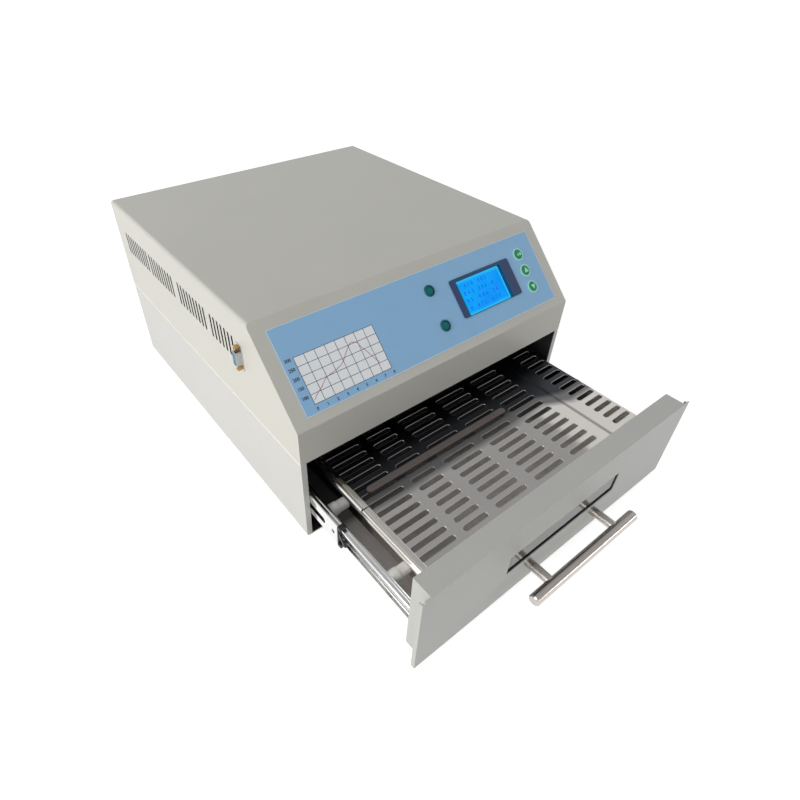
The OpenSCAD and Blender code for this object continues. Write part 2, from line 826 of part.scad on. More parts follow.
// D-shaped outline of the connector, long side upright
function serial_outline(grow) = rounded_outline([
    [-4.2 - grow, -9.2 - grow], [-4.2 - grow, 9.2 + grow], [4.2 + grow, 7.7 + grow], [4.2 + grow, -7.7 - grow]
], 2);

module serial_shell() {
    flange = [31, 12.5];
    color(zinc) on_serial() difference() {
        union() {
            rotate([0, 0, 90]) rounded_plate(flange[0], flange[1], 2, 0.8);
            linear_extrude(serial_reach) polygon(serial_outline(0));
        }
        translate([0, 0, -over]) linear_extrude(serial_reach + 2) polygon(serial_outline(-0.6));
        for (s = [-1, 1]) translate([0, s * jack_pitch / 2, -over]) cylinder(r = 1.4, h = 4);
    }
}

// Places a piece on the outside of the left wall, its own Z pointing away from the wall
module on_serial() {
    translate([-half_w, serial_y, serial_z]) rotate([90, 0, -90]) children();
}

module serial_insert() {
    depth = 10;
    color([0.15, 0.30, 0.75]) on_serial() difference() {
        translate([0, 0, -depth]) linear_extrude(serial_reach + depth - 0.6) polygon(serial_outline(-0.65));
        for (row = [[-1.4, 5], [1.4, 4]], i = [0:row[1] - 1])
            translate([row[0], (i - (row[1] - 1) / 2) * 2.77, serial_reach - 4]) cylinder(r = 0.6, h = 6);
    }
}

module jack_screws() {
    color([0.78, 0.60, 0.28]) on_serial() for (s = [-1, 1]) translate([0, s * jack_pitch / 2]) difference() {
        union() {
            translate([0, 0, 0.8]) cylinder(r = 2.8, h = jack_reach - 0.8, $fn = 6);
            translate([0, 0, -6]) cylinder(r = 1.3, h = 7);
        }
        translate([0, 0, 1.5]) cylinder(r = 1.2, h = jack_reach);
    }
}

// Electrics on the deck

module transformer() {
    core = [58, 34, 36];
    winding = [34, 48, 27];
    at = [-deck_leg_x + 50, -deck_back - 45];
    color([0.35, 0.33, 0.32]) translate([at[0], at[1], deck_top]) {
        translate([-core[0] / 2, -core[1] / 2, 0]) cube(core);
        translate([-core[0] / 2 - 10, -core[1] / 2, 0]) cube([core[0] + 20, core[1], 2]);
    }
    color([0.80, 0.70, 0.30]) translate([at[0], at[1], deck_top + core[2] / 2])
        cube(winding, center = true);
}

module power_board() {
    at = [60, -deck_back - 62];
    color(board_green) translate([at[0], at[1], deck_top + 6]) cube([86, 54, board_t]);
    color(zinc) for (dx = [5, 81], dy = [5, 49])
        translate([at[0] + dx, at[1] + dy, deck_top]) cylinder(r = 2.5, h = 6);
    color(soft_black) translate([at[0], at[1], deck_top + 6 + board_t]) {
        for (p = [[14, 14], [14, 38], [34, 26]]) translate(p) cylinder(r = 6, h = 18);
        translate([48, 8, 0]) cube([16, 14, 12]);
        translate([48, 30, 0]) cube([16, 14, 12]);
    }
}

module heater_relays() {
    color([0.85, 0.84, 0.80]) for (i = [0, 1])
        translate([-deck_leg_x + 20 + 56 * i, -deck_front + 12, deck_top]) difference() {
            cube([45, 58, 24]);
            for (y = [6, 44]) translate([6, y, 17]) cube([33, 8, 8]);
        }
}

// Electronics behind the sloped panel

board_mid = (board_top + board_bottom) / 2;

module control_board() {
    switch_h = board_gap - key_reach - key_travel - fit;
    color(board_green) on_slope(0, board_mid)
        translate([board_x0, (board_top - board_bottom) / 2, -sheet - board_gap - board_t])
            cube([board_x1 - board_x0, board_bottom - board_top, board_t]);
    color(soft_black) {
        for (s = key_rows) on_slope(key_x, s)
            translate([-3.5, -3.5, -sheet - board_gap]) cube([7, 7, switch_h]);
        for (p = [[4, 60], [22, 60], [60, 84]]) on_slope(p[0], p[1])
            translate([-5, -7, -board_reach]) cube([10, 14, chip_h]);
        for (s = lamp_rows) on_slope(lamp_x, s)
            translate([0, 0, -sheet - board_gap]) cylinder(r = 2.5, h = board_gap - 5);
    }
}

module board_standoffs() {
    color([0.78, 0.60, 0.28]) for (x = standoff_columns, s = standoff_rows) on_slope(x, s)
        translate([0, 0, -sheet - board_gap]) cylinder(r = standoff_r, h = board_gap, $fn = 6);
}

module lcd_module() {
    header_h = board_gap - lcd_back;
    color([0.20, 0.22, 0.22]) on_slope(screen_at[0], screen_at[1]) {
        translate([0, 0, -sheet - lcd_back]) difference() {
            translate([-lcd_frame[0] / 2, -lcd_frame[1] / 2, 0]) cube([lcd_frame[0], lcd_frame[1], lcd_back]);
            translate([-screen_w / 2 - 1.5, -screen_l / 2 - 1.5, lcd_back - screen_sink - screen_t])
                cube([screen_w + 3, screen_l + 3, screen_sink + screen_t + over]);
        }
        translate([-25, lcd_frame[1] / 2 - 8, -sheet - board_gap]) cube([50, 4, header_h]);
    }
}

module lcd_screen() {
    color([0.05, 0.65, 1.0]) on_slope(screen_at[0], screen_at[1])
        translate([0, 0, -sheet - screen_sink - screen_t])
            rounded_plate(screen_w + 3 - 2 * hair, screen_l + 3 - 2 * hair, 1, screen_t);
}

// A flat surround whose collar reaches through the panel, down to the display
module display_bezel() {
    collar_l = overlay_t + sheet + screen_sink - fit;
    aside = [screen_at[0] - bezel_at[0], bezel_at[1] - screen_at[1]];
    color([0.17, 0.21, 0.33]) on_slope(bezel_at[0], bezel_at[1]) translate([0, 0, overlay_t]) difference() {
        union() {
            rounded_plate(bezel_w, bezel_l, bezel_corner, bezel_t);
            translate([aside[0], aside[1], -collar_l]) rounded_plate(
                screen_w + 2 * collar_wall, screen_l + 2 * collar_wall, 1.2, collar_l + bezel_t / 2);
        }
        translate([aside[0], aside[1], -collar_l - over])
            rounded_plate(screen_w, screen_l, 1, collar_l + bezel_t + 2);
    }
}

module display_window() {
    color([0.75, 0.88, 0.95, 0.35]) on_slope(screen_at[0], screen_at[1])
        translate([0, 0, overlay_t + bezel_t - hair - window_t])
            rounded_plate(screen_w - 2 * hair, screen_l - 2 * hair, 1, window_t);
}

module control_overlay() {
    color([0.49, 0.64, 0.82]) difference() {
        on_slope(0, overlay_mid) rounded_plate(overlay_w, overlay_l, overlay_corner, overlay_t);
        panel_openings(2 * sheet);
    }
}

key_ring_t = 0.7;
key_proud = 1.3;
key_reach = 9;
collar_t = 1.2;

module key_rings() {
    color([0.60, 0.90, 0.78]) for (s = key_rows) on_slope(key_x, s) translate([0, 0, overlay_t])
        difference() {
            cylinder(d = key_dia + 4, h = key_ring_t);
            translate([0, 0, -over]) cylinder(d = key_dia + 2 * fit, h = key_ring_t + 2);
        }
}

// A domed cap with a collar behind the panel and a stem that reaches its switch
module panel_key(s) {
    r = key_dia / 2;
    collar_z = -sheet - fit;
    rim_z = overlay_t + key_proud;
    color([0.08, 0.50, 0.30]) on_slope(key_x, s) rotate_extrude() polygon([
        [0, rim_z + 0.5], [r * 0.6, rim_z + 0.3], [r - 0.6, rim_z - 0.2], [r, rim_z - 0.8],
        [r, collar_z], [r + 1.5, collar_z], [r + 1.5, collar_z - collar_t],
        [2.5, collar_z - collar_t], [2.5, -sheet - key_reach], [0, -sheet - key_reach]
    ]);
}

module indicator_bezels() {
    r = lamp_dia / 2;
    color([0.04, 0.12, 0.11]) for (s = lamp_rows) on_slope(lamp_x, s) rotate_extrude() polygon([
        [r + 0.1, overlay_t], [r + 0.1, overlay_t + 1.2], [r + 1, overlay_t + 1.6], [r + 1.7, overlay_t + 0.8],
        [r + 1.7, overlay_t], [r + 0.9, overlay_t], [r + 0.9, -sheet - 6], [r + 0.1, -sheet - 6]
    ]);
}

module indicator_lenses() {
    r = lamp_dia / 2;
    color([0.03, 0.30, 0.22]) for (s = lamp_rows) on_slope(lamp_x, s) rotate_extrude() polygon([
        [0, overlay_t + 1.9], [r * 0.4, overlay_t + 1.7], [r * 0.8, overlay_t + 1.1], [r, overlay_t + 0.3],
        [r, -sheet - 4.5], [0, -sheet - 4.5]
    ]);
}

// Drawer

module drawer_front() {
    rear_y = face_y + front_box_d;
    color(lower_grey) slid(1) difference() {
        union() {
            block(-plate_half, plate_half, face_y, face_y + sheet, shell_z, drawer_top);
            block(-plate_half, plate_half, face_y, face_y + hem, shell_z, shell_z + sheet);
            block(-box_half, box_half, face_y, rear_y, drawer_top - box_sheet, drawer_top);
            block(-box_half, box_half, face_y, rear_y, box_foot_z, box_foot_z + box_sheet);
            for (side = [-1, 1]) on_side(side) {
                block(-plate_half, sheet - plate_half, face_y, face_y + hem, shell_z, drawer_top - 3);
                block(-box_half, box_sheet - box_half, face_y, rear_y, box_foot_z, drawer_top);
            }
        }
        on_face(0, window_z) translate([0, 0, -over - sheet]) rounded_plate(window_w, window_h, 2, sheet + 2);
        for (sx = [-1, 1]) on_face(sx * post_pitch / 2, handle_z) translate([0, 0, -over - sheet])
            cylinder(r = post_screw_r + hair, h = sheet + 2);
        for (sx = [-1, 1]) translate([sx * (plate_half - 1), face_y - over, drawer_top])
            rotate([-90, 0, 0]) cylinder(r = 1.4, h = sheet + 2);
    }
}

// Places a piece on the drawer's face, its own Z pointing out of the face
module on_face(x, z) {
    translate([x, face_y, z]) rotate([90, 0, 0]) children();
}

module window_glass() {
    color([0.62, 0.70, 0.70, 0.4]) slid(1) on_face(0, window_z) translate([0, 0, -sheet - hair - glass_t])
        rounded_plate(window_w + 2 * glass_lap, window_h + 2 * glass_lap, 2, glass_t);
}

module window_retainer() {
    rim = 6;
    back_t = retainer_t;
    w = window_w + 2 * glass_lap;
    h = window_h + 2 * glass_lap;
    pocket = retainer_depth - retainer_t;
    color(zinc) slid(1) on_face(0, window_z) translate([0, 0, -sheet - pocket - back_t]) difference() {
        rounded_plate(w + 2 * rim, h + 2 * rim, 3, pocket + back_t);
        translate([0, 0, back_t]) rounded_plate(w + 2 * fit, h + 2 * fit, 2, pocket + back_t);
        translate([0, 0, -over]) rounded_plate(window_w - 4, window_h - 4, 2, pocket + back_t + 2);
        for (sx = [-1, 1]) translate([sx * post_pitch / 2, handle_z - window_z, -over])
            cylinder(r = post_head_r + 0.4, h = pocket + back_t + 2);
    }
}

module handle_bar() {
    r = bar_dia / 2;
    chamfer = 1;
    color(bright_steel) slid(1) on_face(0, handle_z) translate([-bar_l / 2, 0, bar_reach]) rotate([0, 90, 0])
        rotate_extrude() polygon([
            [0, 0], [r - chamfer, 0], [r, chamfer], [r, bar_l - chamfer], [r - chamfer, bar_l], [0, bar_l]
        ]);
}

module handle_posts() {
    bore_l = 12;
    color(bright_steel) slid(1) for (sx = [-1, 1]) on_face(sx * post_pitch / 2, handle_z) difference() {
        cylinder(r = post_r, h = bar_reach);
        translate([-2 * post_r, 0, bar_reach]) rotate([0, 90, 0]) cylinder(d = bar_dia, h = 4 * post_r);
        translate([0, 0, -over]) cylinder(r = post_screw_r + 0.05, h = bore_l + over);
    }
    color(zinc) slid(1) for (sx = [-1, 1]) on_face(sx * post_pitch / 2, handle_z) {
        translate([0, 0, -sheet]) cylinder(r = post_screw_r, h = bore_l);
        translate([0, 0, -sheet - 2.4]) cylinder(r = post_head_r, h = 2.4);
    }
}

module tray() {
    floor_line = bent_line([
        [tray_half, tray_top - tray_wall_h], [tray_half, tray_top + joggle_h],
        [joggle_x + 1, tray_top + joggle_h], [joggle_x - 1, tray_top], [-tray_half, tray_top],
        [-tray_half, tray_top - tray_rim_h], [-skirt_x, tray_top - tray_rim_h],
        [-skirt_x, tray_top - tray_wall_h]
    ], [1.2, 1.2, 1.2, tray_rim_r, tray_rim_r, 1.2]);
    rows = floor((tray_d - 14) / tray_pitch);
    color(bright_steel) slid(1) difference() {
        union() {
            along_y(-tray_front, -tray_back) polygon(sheet_outline(floor_line, tray_sheet));
            for (y = [-tray_front, -tray_back - tray_sheet])
                block(tray_sheet / 2 - skirt_x, tray_half - tray_sheet / 2, y, y + tray_sheet,
                    tray_top - 14, tray_top - tray_sheet / 2);
        }
        translate([0, 0, tray_top - 5]) linear_extrude(10) for (c = slot_columns, i = [0:rows - 1])
            translate([(c[0] + c[1]) / 2, -tray_front + 13 + i * tray_pitch]) rotate(90)
                slot(tray_slot_w, c[1] - c[0]);
        for (side = [-1, 1]) on_side(side) spacer_bores();
    }
}

module board_bar() {
    bar = [bar_to - bar_from, 8, 4];
    color([0.36, 0.31, 0.29]) slid(1) translate([bar_from, bar_y - bar[1] / 2, tray_top]) {
        translate([bar[1] / 2, 0, 0]) cube([bar[0] - bar[1], bar[1], bar[2]]);
        for (x = [bar[1] / 2, bar[0] - bar[1] / 2]) translate([x, bar[1] / 2, 0])
            cylinder(d = bar[1], h = bar[2]);
    }
}

module drawer_pan() {
    line = bent_line([[-web_x, pan_rim_z], [-web_x, pan_z], [web_x, pan_z], [web_x, pan_rim_z]], 2);
    front = -face_y - sheet;
    color(bright_steel) slid(1) {
        along_y(-front, -pan_back) polygon(sheet_outline(line, pan_sheet));
        for (side = [-1, 1]) on_side(side)
            block(-web_x, -web_x + 14, -front, sheet - front, pan_z + pan_sheet, slide_z + 10);
    }
}

module ceramic_spacers() {
    inner_t = 1.2;
    head = 1.7;
    slid(1) for (side = [-1, 1]) let (gap = web_x - wall_x(side), reach = gap + tray_sheet + inner_t)
        on_side(side) {
            color(ceramic_white) difference() {
                for (d = spacer_rows) translate([-web_x, face_y + d, spacer_z]) rotate([0, 90, 0]) {
                    cylinder(r = spacer_r, h = gap * spacer_share);
                    translate([0, 0, gap * spacer_share])
                        cylinder(r = spacer_r - 0.8, h = gap * (1 - spacer_share));
                }
                spacer_bores();
            }
            color(zinc) for (d = spacer_rows)
                translate([-web_x - inner_t, face_y + d, spacer_z]) rotate([0, 90, 0]) {
                    translate([0, 0, -head]) cylinder(r = 3.4, h = head);
                    cylinder(r = post_screw_r, h = reach);
                    translate([0, 0, reach]) cylinder(r = 3.6, h = 2.2);
                }
        }
}

module centred() {
    translate([x_shift, y_shift, 0]) children();
}

centred() lower_casing();
centred() top_cover();
centred() rear_panel();
centred() rubber_feet();
centred() casing_screws();
centred() slide_mount_rails();
centred() slide_outer_members();
centred() slide_middle(-1);  // slide_middle_left
centred() slide_middle(1);  // slide_middle_right
centred() slide_bumper(-1);  // slide_bumper_left
centred() slide_bumper(1);  // slide_bumper_right
centred() slide_inner_members();
centred() ball_cage(-1, outer_ball, outer_cage_span, 0.25);  // outer_cage_left
centred() ball_cage(1, outer_ball, outer_cage_span, 0.25);  // outer_cage_right
centred() ball_cage(-1, inner_ball, inner_cage_span, 0.75);  // inner_cage_left
centred() ball_cage(1, inner_ball, inner_cage_span, 0.75);  // inner_cage_right
centred() chamber_hood();
centred() insulation_blanket();
centred() service_deck();
centred() heater_tubes();
centred() heater_filaments();
centred() heater_caps();
centred() heat_reflectors();
centred() stirrer_motor();
centred() stirrer_impeller();
centred() thermocouples();
centred() exhaust_fan_frame();
centred() exhaust_fan_rotor();
centred() fan_guard();
centred() transformer();
centred() power_board();
centred() heater_relays();
centred() control_board();
centred() board_standoffs();
centred() lcd_module();
centred() lcd_screen();
centred() display_bezel();
centred() display_window();
centred() control_overlay();
centred() key_rings();
centred() panel_key(key_rows[0]);  // select_key
centred() panel_key(key_rows[1]);  // up_key
centred() panel_key(key_rows[2]);  // down_key
centred() indicator_bezels();
centred() indicator_lenses();
centred() serial_shell();
centred() serial_insert();
centred() jack_screws();
centred() power_inlet();
centred() switch_bezel();
centred() power_rocker();
centred() drawer_front();
centred() window_glass();
centred() window_retainer();
centred() handle_bar();
centred() handle_posts();
centred() tray();
centred() board_bar();
centred() drawer_pan();
centred() ceramic_spacers();
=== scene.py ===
"""Looks of a benchtop infrared reflow oven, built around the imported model. Lengths are in metres."""
import math
import random

import bmesh
import bpy
from mathutils import Euler, Matrix, Vector


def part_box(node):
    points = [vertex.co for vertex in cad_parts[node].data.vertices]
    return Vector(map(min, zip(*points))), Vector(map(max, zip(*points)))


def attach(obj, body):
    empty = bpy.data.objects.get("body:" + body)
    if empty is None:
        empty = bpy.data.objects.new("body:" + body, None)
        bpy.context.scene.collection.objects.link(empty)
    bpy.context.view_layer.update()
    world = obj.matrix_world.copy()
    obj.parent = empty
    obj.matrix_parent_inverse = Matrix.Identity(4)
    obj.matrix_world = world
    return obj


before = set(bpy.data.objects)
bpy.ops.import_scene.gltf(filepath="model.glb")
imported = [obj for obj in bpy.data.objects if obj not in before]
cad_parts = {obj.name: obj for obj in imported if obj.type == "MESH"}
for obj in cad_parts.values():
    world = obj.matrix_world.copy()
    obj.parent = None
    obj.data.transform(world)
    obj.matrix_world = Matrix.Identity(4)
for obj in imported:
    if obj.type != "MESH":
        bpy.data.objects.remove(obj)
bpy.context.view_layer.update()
MM = 0.001

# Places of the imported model: its casing, its drawer and the drawing of its sloped panel

CASING_LOW, CASING_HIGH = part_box("lower_casing")
MIDDLE_X = (CASING_LOW.x + CASING_HIGH.x) / 2
COVER_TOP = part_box("top_cover")[1].z
REAR_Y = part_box("rear_panel")[1].y
FACE_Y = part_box("drawer_front")[0].y
GLASS_LOW, GLASS_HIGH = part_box("window_glass")
TRAY_LOW, TRAY_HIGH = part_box("tray")
# The bar lies on the tray's flat part; the tray's highest part is its raised right side
TRAY_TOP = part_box("board_bar")[0].z
# The sloped panel runs down from the fold at the front of the cover's top
SLOPE_RUN = 78.0 * MM
SLOPE_RISE = 77.0 * MM
PANEL_ANGLE = math.atan2(SLOPE_RISE, SLOPE_RUN)
PANEL = (
    Matrix.Translation((MIDDLE_X, CASING_LOW.y + SLOPE_RUN, COVER_TOP))
    @ Matrix.Rotation(PANEL_ANGLE, 4, "X")
)
# Turns a flat drawing upright, to face the front
UPRIGHT = Matrix.Rotation(math.pi / 2, 4, "X")
# Height of the control film's face above the panel
FILM_FACE = 0.5 * MM
# The display's middle, half its size and its level, all in the panel's drawing
SCREEN_X = 81.0 * MM
SCREEN_Y = -57.5 * MM
SCREEN_HALF = (35.0 * MM, 20.0 * MM)
SCREEN_FACE = -3.4 * MM
# Back and thickness of the control board, in the same drawing
BOARD_BACK = -17.8 * MM
BOARD_T = 1.6 * MM
# Rows of slots in the tray
FIRST_ROW_Y = TRAY_LOW.y + 13.0 * MM
ROW_STEP = 12.0 * MM
SLOT_ROWS = 25


# Meshes


def finish_piece(name, bm, body, material, smooth_angle=None):
    """Makes an object at the origin from a bmesh that is already in place, riding on a body."""
    bmesh.ops.remove_doubles(bm, verts=bm.verts, dist=1e-7)
    mesh = bpy.data.meshes.new(name)
    bm.to_mesh(mesh)
    bm.free()
    piece = bpy.data.objects.new(name, mesh)
    bpy.context.scene.collection.objects.link(piece)
    mesh.materials.append(material)
    if smooth_angle is not None:
        mesh.polygons.foreach_set("use_smooth", [True] * len(mesh.polygons))
        mesh.set_sharp_from_angle(angle=math.radians(smooth_angle))
    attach(piece, body)
    return piece


def add_block(bm, low, high, place):
    """Adds a block between two corners of a drawing, placed by a matrix."""
    low = Vector(low)
    high = Vector(high)
    matrix = place @ Matrix.Translation((low + high) / 2) @ Matrix.Diagonal((*(high - low), 1.0))
    bmesh.ops.create_cube(bm, size=1.0, matrix=matrix)


def add_strip(bm, start, end, width, low, high, place):
    """Adds a printed stroke between two points of a flat drawing."""
    start = Vector(start)
    end = Vector(end)
    run = end - start
    middle = (start + end) / 2
    matrix = (
        place
        @ Matrix.Translation((middle.x, middle.y, (low + high) / 2))
        @ Matrix.Rotation(math.atan2(run.y, run.x), 4, "Z")
        @ Matrix.Diagonal((run.length + width, width, high - low, 1.0))
    )
    bmesh.ops.create_cube(bm, size=1.0, matrix=matrix)


def add_wedge(bm, points, low, high, place):
    """Adds a flat outline, raised between two levels."""
    lower = [bm.verts.new((x, y, low)) for x, y in points]
    face = bm.faces.new(lower)
    raised = bmesh.ops.extrude_face_region(bm, geom=[face])["geom"]
    upper = [v for v in raised if isinstance(v, bmesh.types.BMVert)]
    bmesh.ops.translate(bm, verts=upper, vec=(0, 0, high - low))
    bmesh.ops.transform(bm, matrix=place, verts=lower + upper)
    bmesh.ops.recalc_face_normals(bm, faces=bm.faces)


def add_figures(bm, words, centre, height, low, high, place):
    """Adds plain figures as thin raised meshes, centred on a point of a flat drawing."""
    figure_share = 0.7
    thickening = 0.03
    curve = bpy.data.curves.new("figures", "FONT")
    curve.body = words
    curve.size = height / figure_share
    curve.align_x = "CENTER"
    curve.align_y = "CENTER"
    curve.extrude = (high - low) / 2
    curve.offset = height * thickening
    curve.resolution_u = 3
    writing = bpy.data.objects.new("figures", curve)
    mesh = bpy.data.meshes.new_from_object(writing)
    mesh.transform(place @ Matrix.Translation((centre[0], centre[1], (low + high) / 2)))
    bm.from_mesh(mesh)
    bpy.data.objects.remove(writing)
    bpy.data.curves.remove(curve)
    bpy.data.meshes.remove(mesh)


def add_rim(bm, centre, size, corner, steps, place, segments=4):
    """Adds a ring along a round-cornered outline: each step is how far it goes inwards and upwards."""
    part = bmesh.new()
    made = bmesh.ops.create_grid(part, x_segments=1, y_segments=1, size=0.5)["verts"]
    matrix = Matrix.Translation((*centre, 0.0)) @ Matrix.Diagonal((*size, 1.0, 1.0))
    bmesh.ops.transform(part, matrix=matrix, verts=made)
    bmesh.ops.bevel(
        part, geom=made, offset=corner, segments=segments, profile=0.5, affect="VERTICES", material=-1,
    )
    part.faces.ensure_lookup_table()
    face = part.faces[0]
    for inwards, upwards in steps:
        bmesh.ops.inset_individual(
            part, faces=[face], thickness=inwards, depth=upwards, use_even_offset=True,
        )
    bmesh.ops.delete(part, geom=[face], context="FACES_ONLY")
    bmesh.ops.transform(part, matrix=place, verts=part.verts)
    mesh = bpy.data.meshes.new("rim")
    part.to_mesh(mesh)
    part.free()
    bm.from_mesh(mesh)
    bpy.data.meshes.remove(mesh)


def add_run(bm, points, start, end):
    """Adds an open strip: a profile in millimetres across the oven, drawn from one depth to another."""
    drawn = [bm.verts.new((MIDDLE_X + x * MM, start, z * MM)) for x, z in points]
    edges = [bm.edges.new(pair) for pair in zip(drawn, drawn[1:])]
    raised = bmesh.ops.extrude_edge_only(bm, edges=edges)["geom"]
    moved = [v for v in raised if isinstance(v, bmesh.types.BMVert)]
    bmesh.ops.translate(bm, verts=moved, vec=(0, end - start, 0))


# Shader nodes: a value is a plain number or colour, or the socket of another node


def link(tree, source, target):
    tree.links.new(source, target)


def feed(tree, value, socket):
    """Sets a socket to a plain value, or links another socket to it."""
    if isinstance(value, (int, float, tuple)):
        socket.default_value = value
    else:
        link(tree, value, socket)


def noise(tree, vector, scale, detail, roughness=0.5):
    node = tree.nodes.new("ShaderNodeTexNoise")
    node.inputs["Detail"].default_value = detail
    node.inputs["Roughness"].default_value = roughness
    link(tree, vector, node.inputs["Vector"])
    feed(tree, scale, node.inputs["Scale"])
    return node.outputs["Fac"]


def math_node(tree, operation, first, second=0.0, clamp=False):
    node = tree.nodes.new("ShaderNodeMath")
    node.operation = operation
    node.use_clamp = clamp
    feed(tree, first, node.inputs[0])
    feed(tree, second, node.inputs[1])
    return node.outputs[0]


def plus(tree, first, second, clamp=False):
    return math_node(tree, "ADD", first, second, clamp)


def minus(tree, first, second):
    return math_node(tree, "SUBTRACT", first, second)


def times(tree, first, second):
    return math_node(tree, "MULTIPLY", first, second)


def swing(tree, value, amount):
    """A noise value brought to both sides of 0, times an amount."""
    return times(tree, minus(tree, value, 0.5), amount)


def remap(tree, value, from_low, from_high, to_low, to_high):
    node = tree.nodes.new("ShaderNodeMapRange")
    link(tree, value, node.inputs["Value"])
    feed(tree, from_low, node.inputs["From Min"])
    feed(tree, from_high, node.inputs["From Max"])
    feed(tree, to_low, node.inputs["To Min"])
    feed(tree, to_high, node.inputs["To Max"])
    return node.outputs["Result"]


def tint(tree, factor, first, second):
    """Mixes two colours."""
    node = tree.nodes.new("ShaderNodeMix")
    node.data_type = "RGBA"
    feed(tree, factor, node.inputs["Factor"])
    for label, value in (("A", first), ("B", second)):
        feed(tree, value, [s for s in node.inputs if s.name == label and s.type == "RGBA"][0])
    return [s for s in node.outputs if s.type == "RGBA"][0]


def at_level(tree, base, level):
    """A colour made lighter or darker by a level around 1."""
    node = tree.nodes.new("ShaderNodeHueSaturation")
    link(tree, base, node.inputs["Color"])
    link(tree, level, node.inputs["Value"])
    return node.outputs["Color"]


def along(tree, vector, axis):
    """One coordinate of a place."""
    node = tree.nodes.new("ShaderNodeSeparateXYZ")
    link(tree, vector, node.inputs[0])
    return node.outputs[axis]


def between(tree, value, low, high):
    """1 where a value lies between two numbers, else 0."""
    node = tree.nodes.new("ShaderNodeMath")
    node.operation = "COMPARE"
    link(tree, value, node.inputs[0])
    node.inputs[1].default_value = (low + high) / 2
    node.inputs[2].default_value = (high - low) / 2
    return node.outputs[0]


def inside_box(tree, vector, low, high):
    """1 inside the box between two corners, else 0."""
    shares = [between(tree, along(tree, vector, axis), low[axis], high[axis]) for axis in range(3)]
    return times(tree, shares[0], times(tree, shares[1], shares[2]))


def on_panel(tree, vector):
    """Places measured in the drawing of the sloped panel."""
    node = tree.nodes.new("ShaderNodeMapping")
    node.vector_type = "TEXTURE"
    node.inputs["Location"].default_value = PANEL.to_translation()
    node.inputs["Rotation"].default_value = (PANEL_ANGLE, 0.0, 0.0)
    link(tree, vector, node.inputs["Vector"])
    return node.outputs["Vector"]


# Shared effects, each a node group that gives a colour, a roughness and a height


def new_group(name, **inputs):
    """An empty effect with a place, a colour and a gloss to go in, and some inputs of its own."""
    tree = bpy.data.node_groups.new(name, "ShaderNodeTree")
    kinds = {"Vector": "Vector", "Colour": "Color", "Gloss": "Float", **inputs}
    for label, kind in kinds.items():
        label = label.replace("_", " ")
        tree.interface.new_socket(label, in_out="INPUT", socket_type="NodeSocket" + kind)
    for label, kind in (("Colour", "Color"), ("Roughness", "Float"), ("Height", "Float")):
        tree.interface.new_socket(label, in_out="OUTPUT", socket_type="NodeSocket" + kind)
    return tree, tree.nodes.new("NodeGroupInput").outputs, tree.nodes.new("NodeGroupOutput").inputs


def powder_group():
    """Fine orange peel of a powder coat, with faint clouding of its colour and gloss."""
    tree, given, made = new_group("Powder coat", Clouding="Float", Peel_size="Float")
    cloud = noise(tree, given["Vector"], scale=9.0, detail=4.0, roughness=0.55)
    cloud = swing(tree, cloud, given["Clouding"])
    fleck = swing(tree, noise(tree, given["Vector"], scale=900.0, detail=2.0), 0.05)
    level = plus(tree, 1.0, plus(tree, times(tree, cloud, 4.0), fleck))
    peel = noise(tree, given["Vector"], scale=given["Peel size"], detail=2.0, roughness=0.45)
    link(tree, at_level(tree, given["Colour"], level), made["Colour"])
    link(tree, plus(tree, given["Gloss"], times(tree, cloud, 3.0)), made["Roughness"])
    link(tree, peel, made["Height"])
    return tree


def brushed_group():
    """Fine lines along one direction of a rolled or brushed metal, with soft patches of tarnish."""
    tree, given, made = new_group("Brushed metal", Stretch="Vector", Lines="Float", Patches="Float")
    stretched = tree.nodes.new("ShaderNodeVectorMath")
    stretched.operation = "MULTIPLY"
    link(tree, given["Vector"], stretched.inputs[0])
    link(tree, given["Stretch"], stretched.inputs[1])
    lines = noise(tree, stretched.outputs[0], scale=1.0, detail=4.0, roughness=0.6)
    patch = noise(tree, given["Vector"], scale=26.0, detail=4.0, roughness=0.6)
    both = plus(tree, swing(tree, lines, given["Lines"]), swing(tree, patch, given["Patches"]))
    level = plus(tree, 1.0, times(tree, both, 2.0))
    link(tree, at_level(tree, given["Colour"], level), made["Colour"])
    link(tree, plus(tree, given["Gloss"], times(tree, both, 1.5), clamp=True), made["Roughness"])
    link(tree, lines, made["Height"])
    return tree


def moulded_group():
    """Fine spark texture of a moulded plastic or rubber, with faint rubbed patches."""
    tree, given, made = new_group("Moulded grain", Grain_size="Float", Rubbing="Float")
    grain = noise(tree, given["Vector"], scale=given["Grain size"], detail=2.0)
    rubbed = noise(tree, given["Vector"], scale=60.0, detail=4.0, roughness=0.6)
    rubbed = swing(tree, rubbed, given["Rubbing"])
    level = plus(tree, 1.0, times(tree, rubbed, 1.5))
    link(tree, at_level(tree, given["Colour"], level), made["Colour"])
    link(tree, plus(tree, given["Gloss"], rubbed, clamp=True), made["Roughness"])
    link(tree, grain, made["Height"])
    return tree


POWDER = powder_group()
BRUSHED = brushed_group()
MOULDED = moulded_group()


# Kinds of material


def colour(red, green, blue):
    return (red, green, blue, 1.0)


def start_material(name, **constants):
    """A material with a Principled shader whose plain values are set on its own sockets."""
    material = bpy.data.materials.new(name)
    material.use_nodes = True
    tree = material.node_tree
    shader = tree.nodes["Principled BSDF"]
    for label, value in constants.items():
        shader.inputs[label.replace("_", " ")].default_value = value
    place = tree.nodes.new("ShaderNodeTexCoord")
    return material, tree, shader, place.outputs["Object"]


def use_group(tree, group, vector, **values):
    """Places a shared effect; a value is a plain one or a socket."""
    node = tree.nodes.new("ShaderNodeGroup")
    node.node_tree = group
    link(tree, vector, node.inputs["Vector"])
    for label, value in values.items():
        feed(tree, value, node.inputs[label.replace("_", " ")])
    return node


